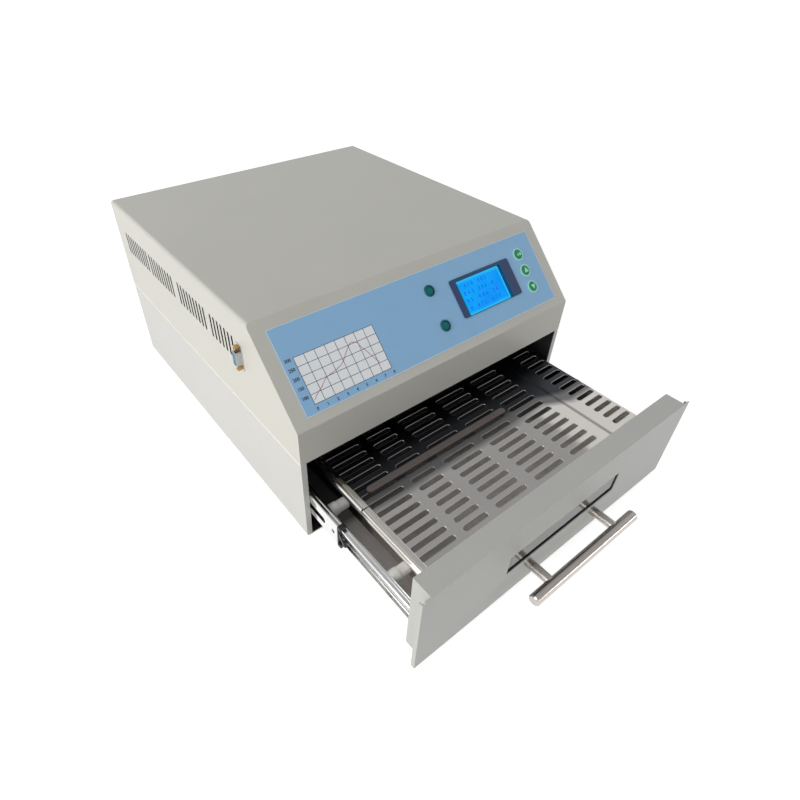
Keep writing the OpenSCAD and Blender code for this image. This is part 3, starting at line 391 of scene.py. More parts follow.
def add_effect(tree, shader, node, depth=None):
    """Gives a shader the colour and roughness of a shared effect, and its height with a depth."""
    link(tree, node.outputs["Colour"], shader.inputs["Base Color"])
    link(tree, node.outputs["Roughness"], shader.inputs["Roughness"])
    if depth is not None:
        bump = tree.nodes.new("ShaderNodeBump")
        bump.inputs["Strength"].default_value = 1.0
        bump.inputs["Distance"].default_value = depth
        link(tree, node.outputs["Height"], bump.inputs["Height"])
        link(tree, bump.outputs["Normal"], shader.inputs["Normal"])


# Directions of the brushed lines, and depths of the bumps
ALONG_X = (30.0, 2500.0, 2500.0)
ALONG_Y = (2500.0, 30.0, 2500.0)
EVEN = (400.0, 400.0, 400.0)
PEEL_DEPTH = 0.012 * MM
BRUSH_DEPTH = 0.002 * MM
GRAIN_DEPTH = 0.008 * MM
FINE_GRAIN_DEPTH = 0.004 * MM
INK_DEPTH = 0.002 * MM


def painted(name, base, gloss=0.42, peel=1400.0):
    material, tree, shader, vector = start_material(name)
    node = use_group(tree, POWDER, vector, Colour=base, Clouding=0.03, Gloss=gloss, Peel_size=peel)
    add_effect(tree, shader, node, PEEL_DEPTH)
    return material


def metal(name, base, stretch, lines, gloss, patches=0.05):
    material, tree, shader, vector = start_material(name, Metallic=1.0)
    node = use_group(
        tree, BRUSHED, vector, Stretch=stretch, Colour=base, Lines=lines, Gloss=gloss, Patches=patches,
    )
    add_effect(tree, shader, node, BRUSH_DEPTH)
    return material


def moulded(name, base, gloss, grain=2500.0, rubbing=0.1, depth=GRAIN_DEPTH, **constants):
    material, tree, shader, vector = start_material(name, **constants)
    node = use_group(tree, MOULDED, vector, Colour=base, Gloss=gloss, Grain_size=grain, Rubbing=rubbing)
    add_effect(tree, shader, node, depth)
    return material


def clear(name, base, alpha, gloss=0.05, **constants):
    """A clear pane: mostly transparent, with its gloss and faint smears."""
    material, tree, shader, vector = start_material(name, Alpha=alpha, IOR=1.5, **constants)
    shader.inputs["Base Color"].default_value = base
    smeared = gloss + 0.12
    smear = noise(tree, vector, scale=45.0, detail=5.0, roughness=0.6)
    link(tree, remap(tree, smear, 0.35, 0.75, gloss, smeared), shader.inputs["Roughness"])
    return material


def mixed(name, first, second, find_mask):
    """Two finishes on one piece: the first where the mask is 0, the second where it is 1."""
    material, tree, shader, vector = start_material(name)
    mask = find_mask(tree, vector)
    base = tint(tree, mask, first[0], second[0])
    gloss = remap(tree, mask, 0.0, 1.0, first[1], second[1])
    node = use_group(tree, MOULDED, vector, Colour=base, Gloss=gloss, Grain_size=1800.0, Rubbing=0.12)
    link(tree, remap(tree, mask, 0.0, 1.0, first[2], second[2]), shader.inputs["Metallic"])
    add_effect(tree, shader, node, FINE_GRAIN_DEPTH)
    return material


def sheet_paint(name, base, find_mask):
    """A painted sheet: paint outside; inside, a dark dull bare sheet, its darkness partly a painted shade.
    """
    material, tree, shader, vector = start_material(name)
    inside = find_mask(tree, vector)
    # Dark inside the casing and the cover: bare dull sheet, and painted shade
    shown = tint(tree, inside, base, colour(0.10, 0.10, 0.105))
    node = use_group(tree, POWDER, vector, Colour=shown, Clouding=0.03, Gloss=0.42, Peel_size=1400.0)
    link(tree, remap(tree, inside, 0.0, 1.0, 0.0, 0.7), shader.inputs["Metallic"])
    add_effect(tree, shader, node, PEEL_DEPTH)
    return material


COVER_COLOUR = colour(0.59, 0.575, 0.52)

# Plain materials: the printed panel and its keys and lamps

overlay_film = moulded("overlay film", colour(0.285, 0.522, 0.795), gloss=0.42, grain=1800.0, rubbing=0.05)
film_edge = moulded("film edge", colour(0.76, 0.82, 0.88), gloss=0.35, depth=INK_DEPTH)
chart_ink = moulded("chart ground", colour(0.90, 0.92, 0.94), gloss=0.5, rubbing=0.04, depth=INK_DEPTH)
line_ink = moulded("dark ink", colour(0.045, 0.05, 0.07), gloss=0.45, depth=INK_DEPTH)
red_ink = moulded("red ink", colour(0.36, 0.03, 0.07), gloss=0.45, depth=INK_DEPTH)
ring_mint = moulded("key ring", colour(0.40, 0.84, 0.73), gloss=0.3)
key_green = moulded("key cap", colour(0.010, 0.25, 0.11), gloss=0.3)
mark_pale = moulded("key mark", colour(0.36, 0.95, 0.62), gloss=0.35)
lamp_surround = moulded("lamp surround", colour(0.002, 0.11, 0.115), gloss=0.35, Specular_IOR_Level=0.25)
lamp_green = moulded(
    "lamp lens", colour(0.003, 0.17, 0.18), gloss=0.25, rubbing=0.02, Specular_IOR_Level=0.12,
)

# Plain materials: metals

slide_metal = metal("slide steel", colour(0.74, 0.74, 0.73), ALONG_Y, lines=0.14, gloss=0.13, patches=0.08)
rim_metal = metal("rim stainless", colour(0.70, 0.67, 0.63), ALONG_Y, lines=0.05, gloss=0.12)
hood_metal = metal("hood sheet", colour(0.55, 0.55, 0.53), ALONG_X, lines=0.1, gloss=0.32, patches=0.12)
bright_reflector = metal("reflector", colour(0.80, 0.79, 0.76), ALONG_X, lines=0.05, gloss=0.12)
zinc_plate = metal("zinc plate", colour(0.60, 0.61, 0.60), EVEN, lines=0.12, gloss=0.34, patches=0.12)
handle_steel = metal("handle steel", colour(0.56, 0.52, 0.49), ALONG_X, lines=0.18, gloss=0.2, patches=0.06)
post_steel = metal("post steel", colour(0.53, 0.495, 0.465), ALONG_Y, lines=0.18, gloss=0.2, patches=0.06)
ball_steel = metal("ball steel", colour(0.75, 0.75, 0.75), EVEN, lines=0.04, gloss=0.1)
motor_can = metal("motor can", colour(0.42, 0.42, 0.41), EVEN, lines=0.08, gloss=0.38, patches=0.1)
probe_steel = metal("probe steel", colour(0.55, 0.55, 0.54), ALONG_Y, lines=0.08, gloss=0.25)
wire_metal = metal("filament wire", colour(0.28, 0.24, 0.21), EVEN, lines=0.1, gloss=0.5)
brass = metal("brass", colour(0.58, 0.36, 0.15), EVEN, lines=0.08, gloss=0.22, patches=0.16)
shell_tin = metal("connector shell", colour(0.55, 0.55, 0.53), EVEN, lines=0.06, gloss=0.3)
bar_dark = metal("board bar", colour(0.21, 0.185, 0.175), ALONG_X, lines=0.25, gloss=0.36, patches=0.2)

# Plain materials: paint, rubber, plastic, ceramic and clear panes

frame_black = painted("display frame", colour(0.03, 0.032, 0.033), gloss=0.4, peel=2600.0)
cover_paint = painted("cover paint", COVER_COLOUR)
# The drawer front's paint, darker than the casing's same paint: a painted shade on its face
drawer_shaded_paint = painted("drawer shaded paint", colour(0.522, 0.517, 0.487))
# Lighter than the cover's paint: a painted highlight along the hems
hem_highlight_paint = painted("hem painted highlight", colour(0.86, 0.84, 0.78), gloss=0.35)
rubber_black = moulded("foot rubber", colour(0.015, 0.015, 0.017), gloss=0.7, grain=1500.0, depth=0.02 * MM)
seal_rubber = moulded("window seal", colour(0.045, 0.045, 0.042), gloss=0.6, depth=FINE_GRAIN_DEPTH)
black_plastic = moulded("black plastic", colour(0.018, 0.018, 0.02), gloss=0.38)
bumper_black = moulded("bumper nylon", colour(0.014, 0.014, 0.016), gloss=0.42)
relay_grey = moulded("relay plastic", colour(0.68, 0.66, 0.60), gloss=0.45)
insulator_blue = moulded("connector blue", colour(0.06, 0.20, 0.40), gloss=0.35)
rocker_red = moulded("rocker red", colour(0.42, 0.01, 0.008), gloss=0.25)
ceramic_white = moulded("white ceramic", colour(0.80, 0.78, 0.73), gloss=0.28, grain=900.0, rubbing=0.08)
wool_white = moulded(
    "ceramic wool", colour(0.75, 0.74, 0.68), gloss=0.95, grain=700.0, rubbing=0.3, depth=0.5 * MM,
)
quartz = clear("quartz", colour(0.86, 0.88, 0.9), alpha=0.3)
display_cover = clear("display cover", colour(0.01, 0.02, 0.03), alpha=0.03)
window_pane = clear(
    "window pane", colour(0.045, 0.044, 0.038), alpha=0.72, gloss=0.02,
    Coat_Weight=0.45, Coat_Roughness=0.03,
)


# The lit display and its surround


def from_screen(tree, vector):
    """How far a place lies from the display's middle, sideways and along the slope."""
    place = on_panel(tree, vector)
    aside = math_node(tree, "ABSOLUTE", minus(tree, along(tree, place, 0), SCREEN_X))
    above = math_node(tree, "ABSOLUTE", minus(tree, along(tree, place, 1), SCREEN_Y))
    return aside, above


def glowing_screen():
    """A backlit display: bright blue, lighter along its border, with faint unevenness."""
    side_border = 4.0 * MM
    end_border = 4.5 * MM
    rim = 0.4 * MM
    half_w, half_l = SCREEN_HALF
    material, tree, shader, vector = start_material("display glow", Roughness=0.35, Specular_IOR_Level=0.1)
    shader.inputs["Base Color"].default_value = colour(0.0, 0.02, 0.10)
    patch = remap(tree, noise(tree, vector, scale=34.0, detail=3.0), 0.3, 0.7, 0.0, 1.0)
    field = tint(tree, patch, colour(0.0, 0.29, 0.97), colour(0.0, 0.41, 1.0))
    aside, above = from_screen(tree, vector)
    right = remap(tree, aside, half_w - side_border, half_w - rim, 0.0, 1.0)
    top = remap(tree, above, half_l - end_border, half_l - rim, 0.0, 1.0)
    edge = math_node(tree, "POWER", math_node(tree, "MAXIMUM", right, top), 2.0)
    link(tree, tint(tree, edge, field, colour(0.03, 0.60, 1.0)), shader.inputs["Emission Color"])
    shader.inputs["Emission Strength"].default_value = 0.95
    return material


def display_pixels():
    """The display's dark pixels, which the light behind them still reaches."""
    return moulded(
        "display pixels", colour(0.0, 0.02, 0.10), gloss=0.4, depth=0.001 * MM, Specular_IOR_Level=0.1,
        Emission_Color=colour(0.0, 0.15, 0.86), Emission_Strength=0.95,
    )


def surround():
    """The display's dark surround, with a painted teal glow from the lit screen beside it."""
    fully_lit = 2.0 * MM
    unlit = 4.4 * MM
    half_w, half_l = SCREEN_HALF
    material, tree, shader, vector = start_material("display surround")
    aside, above = from_screen(tree, vector)
    outside = math_node(tree, "MAXIMUM", minus(tree, aside, half_w), minus(tree, above, half_l))
    # Painted glow of the lit screen on the surround, fading away from it
    glow = remap(tree, outside, fully_lit, unlit, 1.0, 0.0)
    shade = tint(tree, glow, colour(0.022, 0.045, 0.14), colour(0.0, 0.066, 0.16))
    node = use_group(tree, MOULDED, vector, Colour=shade, Gloss=0.42, Grain_size=2500.0, Rubbing=0.05)
    add_effect(tree, shader, node, GRAIN_DEPTH)
    return material


screen_glow = glowing_screen()
pixel_ink = display_pixels()
bezel_navy = surround()


# Pieces with two finishes, told apart by place; each finish is a colour, a gloss and a metallic value

ZINC_FINISH = (colour(0.55, 0.55, 0.54), 0.34, 1.0)
SPACER_FINISH = (colour(0.90, 0.87, 0.83), 0.3, 0.0)
CORE_FINISH = (colour(0.07, 0.065, 0.06), 0.4, 0.4)
WINDING_FINISH = (colour(0.62, 0.42, 0.10), 0.5, 0.0)
BLACK_FINISH = (colour(0.02, 0.02, 0.022), 0.4, 0.0)
GREEN_FINISH = (colour(0.015, 0.13, 0.055), 0.28, 0.0)
# How far the inside of the casing and of the cover is followed past their seam
PAST_SEAM = 10.0 * MM


def spacer_mask(tree, vector):
    """1 on the spacers themselves, between a slide's web and the tray's wall, and 0 on their screws."""
    web = 176.45 * MM
    left_wall = 156.65 * MM
    right_wall = 164.95 * MM
    x = along(tree, vector, 0)
    left = between(tree, x, MIDDLE_X - web, MIDDLE_X - left_wall)
    right = between(tree, x, MIDDLE_X + right_wall, MIDDLE_X + web)
    return math_node(tree, "MAXIMUM", left, right)


def winding_mask(tree, vector):
    """1 on the transformer's winding and 0 on its core."""
    core_half = 17.05 * MM
    low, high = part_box("transformer")
    middle = (low.y + high.y) / 2
    core = between(tree, along(tree, vector, 1), middle - core_half, middle + core_half)
    return minus(tree, 1.0, core)


def power_board_mask(tree, vector):
    """1 on the power board's plate and 0 on its parts and feet."""
    plate = (5.9 * MM, 7.65 * MM)
    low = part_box("power_board")[0]
    return between(tree, along(tree, vector, 2), low.z + plate[0], low.z + plate[1])


def control_board_mask(tree, vector):
    """1 on the control board's plate and 0 on its parts."""
    hair = 0.05 * MM
    depth = along(tree, on_panel(tree, vector), 2)
    return between(tree, depth, BOARD_BACK - hair, BOARD_BACK + BOARD_T + hair)


def casing_inside_mask(tree, vector):
    """1 inside the lower casing, from halfway through its sheet."""
    half_sheet = 0.6 * MM
    bottom = 1.0 * MM
    low = (CASING_LOW.x + half_sheet, CASING_LOW.y + half_sheet, CASING_LOW.z + bottom)
    high = (CASING_HIGH.x - half_sheet, REAR_Y, CASING_HIGH.z + PAST_SEAM)
    return inside_box(tree, vector, low, high)


def cover_inside_mask(tree, vector):
    """1 inside the cover, below the bend to its top and behind its sloped panel."""
    hair = 0.1 * MM
    fold = 3.0 * MM
    rear_sheet = 1.3 * MM
    bend = 5.5 * MM
    low = (CASING_LOW.x + hair, CASING_LOW.y + SLOPE_RUN + fold, CASING_HIGH.z - PAST_SEAM)
    high = (CASING_HIGH.x - hair, REAR_Y - rear_sheet, COVER_TOP - bend)
    return inside_box(tree, vector, low, high)


spacer_finish = mixed("spacer ceramic and screws", ZINC_FINISH, SPACER_FINISH, spacer_mask)
transformer_finish = mixed("transformer core and winding", CORE_FINISH, WINDING_FINISH, winding_mask)
power_board_finish = mixed("power board and parts", BLACK_FINISH, GREEN_FINISH, power_board_mask)
control_board_finish = mixed("control board and parts", BLACK_FINISH, GREEN_FINISH, control_board_mask)
casing_finish = sheet_paint("lower casing paint", colour(0.585, 0.575, 0.55), casing_inside_mask)
cover_finish = sheet_paint("cover sheet paint", COVER_COLOUR, cover_inside_mask)


# The drawer's sheets, darker towards the chamber in two steps: a painted shade, and on the tray a painted
# dark reflection; depths count from the tray's front edge

FIRST_STEP = (97.4 * MM, 107.4 * MM)
SECOND_STEP = (115.4 * MM, 123.4 * MM)
FIRST_SHARE = 0.76
DRIFT = 9.0 * MM
RIGHT_SIDE = (MIDDLE_X + 95.0 * MM, MIDDLE_X + 125.0 * MM)
SOONER_ON_RIGHT = 15.0 * MM
PAN_FURTHER_BACK = 38.0 * MM
TRAY_BRIGHT = colour(0.56, 0.54, 0.51)
# The tray's colour where the painted shade and dark reflection are full
TRAY_SHADED = colour(0.042, 0.045, 0.053)


def heat_tint(tree, vector, further_back=0.0):
    """How far a sheet is darkened by painted shade: 0 in front, 1 towards the chamber, and a little sooner
    on the right.
    """
    drift = swing(tree, noise(tree, vector, scale=14.0, detail=2.0), DRIFT)
    depth = minus(tree, plus(tree, along(tree, vector, 1), drift), further_back)
    right = remap(tree, along(tree, vector, 0), *RIGHT_SIDE, 0.0, SOONER_ON_RIGHT)
    depth = minus(tree, plus(tree, depth, right), TRAY_LOW.y)
    first = remap(tree, depth, *FIRST_STEP, 0.0, FIRST_SHARE)
    second = remap(tree, depth, *SECOND_STEP, 0.0, 1.0 - FIRST_SHARE)
    return plus(tree, first, second)


def tray_sheet():
    """The tray's polished stainless sheet, with a painted shade and a painted dark reflection towards the
    chamber.
    """
    material, tree, shader, vector = start_material("tray stainless", Metallic=1.0)
    # Painted shade and a painted dark reflection, growing towards the chamber
    shaded_share = heat_tint(tree, vector)
    shade = tint(tree, shaded_share, TRAY_BRIGHT, TRAY_SHADED)
    gloss = remap(tree, shaded_share, 0.0, 1.0, 0.05, 0.3)
    node = use_group(
        tree, BRUSHED, vector, Stretch=ALONG_X, Colour=shade, Lines=0.06, Gloss=gloss, Patches=0.05,
    )
    add_effect(tree, shader, node, BRUSH_DEPTH)
    return material


def pan_sheet():
    """The pan's dull pale sheet, with a painted shade further back, under the tray."""
    material, tree, shader, vector = start_material("pan sheet", Metallic=0.1)
    # Painted shade: the pan darkens further back, where the tray and the hood shade it
    shaded_share = heat_tint(tree, vector, PAN_FURTHER_BACK)
    shade = tint(tree, shaded_share, colour(0.92, 0.84, 0.80), colour(0.12, 0.115, 0.12))
    node = use_group(
        tree, BRUSHED, vector, Stretch=ALONG_Y, Colour=shade, Lines=0.06, Gloss=0.4, Patches=0.1,
    )
    add_effect(tree, shader, node, BRUSH_DEPTH)
    return material


def slot_rim():
    """The tray's slot rims: their rear sides carry a painted glint, lighter than the tray; their front
    sides as the tray, with its painted shade.
    """
    material, tree, shader, vector = start_material("slot rim", Metallic=0.8)
    # Painted shade, as on the tray
    shaded_share = heat_tint(tree, vector)
    from_row = minus(tree, along(tree, vector, 1), FIRST_ROW_Y - ROW_STEP / 2)
    share = math_node(tree, "FRACT", math_node(tree, "DIVIDE", from_row, ROW_STEP))
    # Painted glint: the rims' rear sides are lighter than the tray around them
    rear = math_node(tree, "GREATER_THAN", share, 0.54)
    painted_glint = tint(tree, shaded_share, colour(0.60, 0.58, 0.55), colour(0.30, 0.295, 0.29))
    shade = tint(tree, rear, tint(tree, shaded_share, TRAY_BRIGHT, TRAY_SHADED), painted_glint)
    gloss = remap(tree, rear, 0.0, 1.0, 0.12, 0.36)
    node = use_group(
        tree, BRUSHED, vector, Stretch=EVEN, Colour=shade, Lines=0.04, Gloss=gloss, Patches=0.04,
    )
    add_effect(tree, shader, node)
    return material


tray_metal = tray_sheet()
pan_metal = pan_sheet()
slot_edge = slot_rim()


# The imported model's nodes and their materials

MATERIAL_OF = {
    "lower_casing": casing_finish, "top_cover": cover_finish, "rear_panel": cover_paint,
    "rubber_feet": rubber_black, "casing_screws": zinc_plate, "slide_mount_rails": zinc_plate,
    "slide_outer_members": slide_metal, "slide_middle_left": slide_metal,
    "slide_middle_right": slide_metal, "slide_inner_members": slide_metal,
    "slide_bumper_left": bumper_black, "slide_bumper_right": bumper_black,
    "outer_cage_left": ball_steel, "outer_cage_right": ball_steel,
    "inner_cage_left": ball_steel, "inner_cage_right": ball_steel,
    "chamber_hood": hood_metal, "insulation_blanket": wool_white, "service_deck": zinc_plate,
    "heater_tubes": quartz, "heater_filaments": wire_metal, "heater_caps": ceramic_white,
    "heat_reflectors": bright_reflector, "stirrer_motor": motor_can, "stirrer_impeller": motor_can,
    "thermocouples": probe_steel, "exhaust_fan_frame": black_plastic,
    "exhaust_fan_rotor": black_plastic, "fan_guard": zinc_plate, "transformer": transformer_finish,
    "power_board": power_board_finish, "heater_relays": relay_grey,
    "control_board": control_board_finish, "board_standoffs": brass, "lcd_module": frame_black,
    "lcd_screen": screen_glow, "display_bezel": bezel_navy, "display_window": display_cover,
    "control_overlay": overlay_film, "key_rings": ring_mint, "select_key": key_green,
    "up_key": key_green, "down_key": key_green, "indicator_bezels": lamp_surround,
    "indicator_lenses": lamp_green, "serial_shell": shell_tin, "serial_insert": insulator_blue,
    "jack_screws": brass, "power_inlet": black_plastic, "switch_bezel": black_plastic,
    "power_rocker": rocker_red, "drawer_front": drawer_shaded_paint, "window_glass": window_pane,
    "window_retainer": zinc_plate, "handle_bar": handle_steel, "handle_posts": post_steel,
    "tray": tray_metal, "board_bar": bar_dark, "drawer_pan": pan_metal,
    "ceramic_spacers": spacer_finish,
}
for node_name, node_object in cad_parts.items():
    node_object.data.materials.clear()
    node_object.data.materials.append(MATERIAL_OF[node_name])


# The printed chart: a pale ground, a grid of lines, a curve and plain figures

GROUND_LEVELS = (FILM_FACE, FILM_FACE + 0.06 * MM)
LINE_LEVELS = (FILM_FACE, FILM_FACE + 0.12 * MM)
CURVE_LEVELS = (FILM_FACE, FILM_FACE + 0.17 * MM)
CHART_LEFT = -164.7 * MM
CHART_RIGHT = -73.4 * MM
CHART_TOP = -44.3 * MM
CHART_BOTTOM = -91.3 * MM
CHART_COLUMNS = 8
CHART_ROWS = 5
LINE_W = 0.5 * MM
CURVE_W = 0.45 * MM
# The curve's points, in columns and rows of the chart
CURVE_POINTS = [
    (0.17, 0.44), (0.6, 0.85), (0.95, 1.11), (1.28, 1.34), (1.6, 1.67), (1.83, 1.91), (2.41, 2.07),
    (3.15, 2.24), (3.79, 2.55), (4.15, 2.91), (4.49, 3.33), (4.89, 3.77), (5.25, 4.09), (5.45, 4.16),
    (5.62, 4.1), (5.96, 3.84), (6.1, 3.31), (6.37, 2.8), (6.74, 1.92), (6.95, 1.44), (7.11, 1.14),
]


def chart_point(column, row):
    """A point of the chart: columns from the left, rows from the bottom."""
    x = CHART_LEFT + (CHART_RIGHT - CHART_LEFT) * column / CHART_COLUMNS
    y = CHART_BOTTOM + (CHART_TOP - CHART_BOTTOM) * row / CHART_ROWS
    return x, y


def make_chart_ground():
    ground = bmesh.new()
    low = (CHART_LEFT, CHART_BOTTOM, GROUND_LEVELS[0])
    high = (CHART_RIGHT, CHART_TOP, GROUND_LEVELS[1])
    add_block(ground, low, high, PANEL)
    finish_piece("chart_ground", ground, "housing", chart_ink)


def make_chart_grid():
    grid = bmesh.new()
    for column in range(CHART_COLUMNS + 1):
        ends = chart_point(column, 0), chart_point(column, CHART_ROWS)
        add_strip(grid, *ends, LINE_W, *LINE_LEVELS, PANEL)
    for row in range(CHART_ROWS + 1):
        ends = chart_point(0, row), chart_point(CHART_COLUMNS, row)
        add_strip(grid, *ends, LINE_W, *LINE_LEVELS, PANEL)
    finish_piece("chart_grid", grid, "housing", line_ink)


def make_chart_curve():
    red = bmesh.new()
    for first, second in zip(CURVE_POINTS, CURVE_POINTS[1:]):
        add_strip(red, chart_point(*first), chart_point(*second), CURVE_W, *CURVE_LEVELS, PANEL)
    finish_piece("chart_curve", red, "housing", red_ink)


def make_chart_figures():
    """Figures beside the rows from 100 on in fifties, and below the columns from 0 on."""
    first_figure = 100
    figure_step = 50
    row_figure = 3.2 * MM
    beside = 6.2 * MM
    column_figure = 3.0 * MM
    aside = 1.0 * MM
    below = 4.6 * MM
    figures = bmesh.new()
    for i in range(CHART_ROWS):
        x, y = chart_point(0, i + 0.9)
        words = str(first_figure + figure_step * i)
        add_figures(figures, words, (x - beside, y), row_figure, *LINE_LEVELS, PANEL)
    for i in range(CHART_COLUMNS + 1):
        x, y = chart_point(i, 0)
        add_figures(figures, str(i), (x + aside, y - below), column_figure, *LINE_LEVELS, PANEL)
    finish_piece("chart_figures", figures, "housing", line_ink)


# The display: lines of plain digits


def make_display_marks():
    """Four lines of nine places, of which every fourth is empty."""
    levels = (SCREEN_FACE, SCREEN_FACE + 0.05 * MM)
    first_line = 13.0 * MM
    line_step = 8.6 * MM
    left_end = 27.0 * MM
    narrowest = 3.2
    spread = 2.0
    gap = 1.4 * MM
    digit = 4.2 * MM
    marks = bmesh.new()
    random.seed(4)
    for line in range(4):
        y = SCREEN_Y + first_line - line_step * line
        x = SCREEN_X - left_end
        for cell in range(9):
            width = (narrowest + spread * random.random()) * MM
            if (line + cell) % 4:
                add_figures(marks, str(random.randrange(10)), (x + width / 2, y), digit, *levels, PANEL)
            x += width + gap
    finish_piece("display_marks", marks, "housing", pixel_ink)


# Edges: the film's cut edge, the window's seal, the tray's rims and border, and the cover's hems

# Left and right ends of the tray's slots, from the middle, in millimetres; the last column is raised
SLOT_COLUMNS = [
    (-156.0, -113.0), (-102.0, -71.0), (-58.0, -15.0), (-1.0, 42.0), (56.0, 99.0), (133.0, 161.7),
]


def make_film_edge():
    size = (355.0 * MM, 88.0 * MM)
    corner = 2.0 * MM
    down_slope = 56.0 * MM
    hair = 0.02 * MM
    steps = [(0.45 * MM, 0.03 * MM), (0.15 * MM, -0.04 * MM)]
    bm = bmesh.new()
    place = PANEL @ Matrix.Translation((0.0, -down_slope, FILM_FACE + hair))
    add_rim(bm, (0.0, 0.0), size, corner, steps, place)
    finish_piece("film_edge", bm, "housing", film_edge, smooth_angle=60)


def make_window_seal():
    """A rubber ring around the window; its lower run stands broader than the others, a dark band that
    stands for the shade along the window's lower edge.
    """
    lap = 8.1 * MM
    corner = 2.0 * MM
    steps = [(0.05 * MM, 0.7 * MM), (0.9 * MM, 0.05 * MM), (0.4 * MM, -0.6 * MM)]
    base_depth = 1.1 * MM
    ring_depth = 0.9 * MM
    sill_band = (0.6 * MM, 5.7 * MM)
    broader = 1.4 * MM
    middle_z = (GLASS_LOW.z + GLASS_HIGH.z) / 2
    size = (GLASS_HIGH.x - GLASS_LOW.x - lap, GLASS_HIGH.z - GLASS_LOW.z - lap)
    bottom = middle_z - size[1] / 2
    bm = bmesh.new()
    place = Matrix.Translation((MIDDLE_X, FACE_Y + base_depth, middle_z)) @ UPRIGHT
    add_rim(bm, (0.0, 0.0), size, corner, steps, place)
    ring = [v for v in bm.verts if v.co.y < FACE_Y + ring_depth]
    # Painted shade: the broader dark lower run stands for the shadow under the window's lower edge
    shaded_sill = [v for v in ring if bottom + sill_band[0] < v.co.z < bottom + sill_band[1]]
    bmesh.ops.translate(bm, verts=shaded_sill, vec=(0, 0, broader))
    finish_piece("window_seal", bm, "drawer", seal_rubber, smooth_angle=40)


def make_slot_rims():
    """A shallow rolled rim along each slot of the tray."""
    margin = 0.8 * MM
    rim_w = 7.0 * MM
    corner = 3.4 * MM
    steps = [(0.3 * MM, 0.25 * MM), (0.5 * MM, -0.25 * MM), (0.05 * MM, -0.6 * MM)]
    bm = bmesh.new()
    for left, right in SLOT_COLUMNS:
        raised = (left, right) == SLOT_COLUMNS[-1]
        place = Matrix.Translation((0, 0, TRAY_HIGH.z if raised else TRAY_TOP))
        size = ((right - left) * MM + 2 * margin, rim_w)
        for row in range(SLOT_ROWS):
            centre = (MIDDLE_X + (left + right) / 2 * MM, FIRST_ROW_Y + ROW_STEP * row)
            add_rim(bm, centre, size, corner, steps, place, segments=3)
    finish_piece("tray_slot_rims", bm, "drawer", slot_edge, smooth_angle=80)


def make_tray_border():
    """The folded border beside the tray's rolled edge, in two lengths; the rear one has a wider roll."""
    front_length = (TRAY_LOW.y + 16.4 * MM, TRAY_LOW.y + 109.9 * MM)
    rear_length = (TRAY_LOW.y + 111.2 * MM, TRAY_LOW.y + 319.4 * MM)
    fold = [
        (-154.3, 88.03), (-154.7, 88.45), (-155.3, 88.6), (-159.2, 88.75), (-159.9, 88.5), (-160.4, 88.1),
    ]
    bead = [
        (-160.7, 88.5), (-161.2, 88.95), (-161.8, 89.15), (-162.4, 88.95), (-162.9, 88.4),
        (-163.15, 87.75), (-163.2, 87.45),
    ]
    sleeve = [
        (-160.8, 88.8), (-161.4, 89.35), (-162.1, 89.6), (-162.9, 89.35), (-163.5, 88.7),
        (-163.8, 87.9), (-164.0, 86.9),
    ]
    bm = bmesh.new()
    add_run(bm, fold + bead, *front_length)
    add_run(bm, fold + sleeve, *rear_length)
    bmesh.ops.recalc_face_normals(bm, faces=bm.faces)
    finish_piece("tray_border", bm, "drawer", rim_metal, smooth_angle=70)


def make_hems():
    """The rolled lower edge of the cover along both sides of the casing, in a paint lighter than the
    cover's: a painted highlight.
    """
    profile = [(192.4, 119.3), (192.85, 119.5), (193.0, 120.05), (192.85, 120.6), (192.4, 120.8)]
    length = (CASING_LOW.y + 0.1 * MM, REAR_Y - 1.3 * MM)
    bm = bmesh.new()
    for side in (-1, 1):
        add_run(bm, [(side * x, z) for x, z in profile], *length)
    bmesh.ops.recalc_face_normals(bm, faces=bm.faces)
    finish_piece("cover_hems", bm, "housing", hem_highlight_paint, smooth_angle=80)


# Raised marks on the keys: distance down the slope and outlines, both in millimetres

KEY_X = 150.7 * MM
KEY_LEVELS = (FILM_FACE + 1.2 * MM, FILM_FACE + 1.86 * MM)
KEY_MARKS = {
    "up": (55.8, [[(-3.3, -2.5), (3.3, -2.5), (0, 3.5)]]),
    "down": (76.6, [[(-3.3, 2.3), (0, -3.3), (3.3, 2.3)]]),
    "select": (35.2, [
        [(-3.5, -0.9), (-0.7, -1.9), (-0.5, 1.6)],
        [(0.5, -2.3), (3.4, -1.3), (3.2, 1.7), (0.8, 0.7)],
    ]),
}


def make_key_mark(key):
    distance, outlines = KEY_MARKS[key]
    mark = bmesh.new()
    for outline in outlines:
        points = [(KEY_X + x * MM, (y - distance) * MM) for x, y in outline]
        add_wedge(mark, points, *KEY_LEVELS, PANEL)
    finish_piece(key + "_mark", mark, "key_" + key, mark_pale)


make_chart_ground()
make_chart_grid()
make_chart_curve()
make_chart_figures()
make_display_marks()
make_film_edge()
make_window_seal()
make_slot_rims()
make_tray_border()
make_hems()
for key_name in KEY_MARKS:
    make_key_mark(key_name)


# Floor, light and camera


def new_plane(name, size, place=Matrix.Identity(4)):
    """A square sheet of the stage, half its size given, and the node tree of its own material."""
    bm = bmesh.new()
    bmesh.ops.create_grid(bm, x_segments=1, y_segments=1, size=size, matrix=place)
    mesh = bpy.data.meshes.new(name)
    bm.to_mesh(mesh)
    bm.free()
    plane = bpy.data.objects.new(name, mesh)
    bpy.context.scene.collection.objects.link(plane)
    material = bpy.data.materials.new(name)
    material.use_nodes = True
    mesh.materials.append(material)
    return plane, material.node_tree


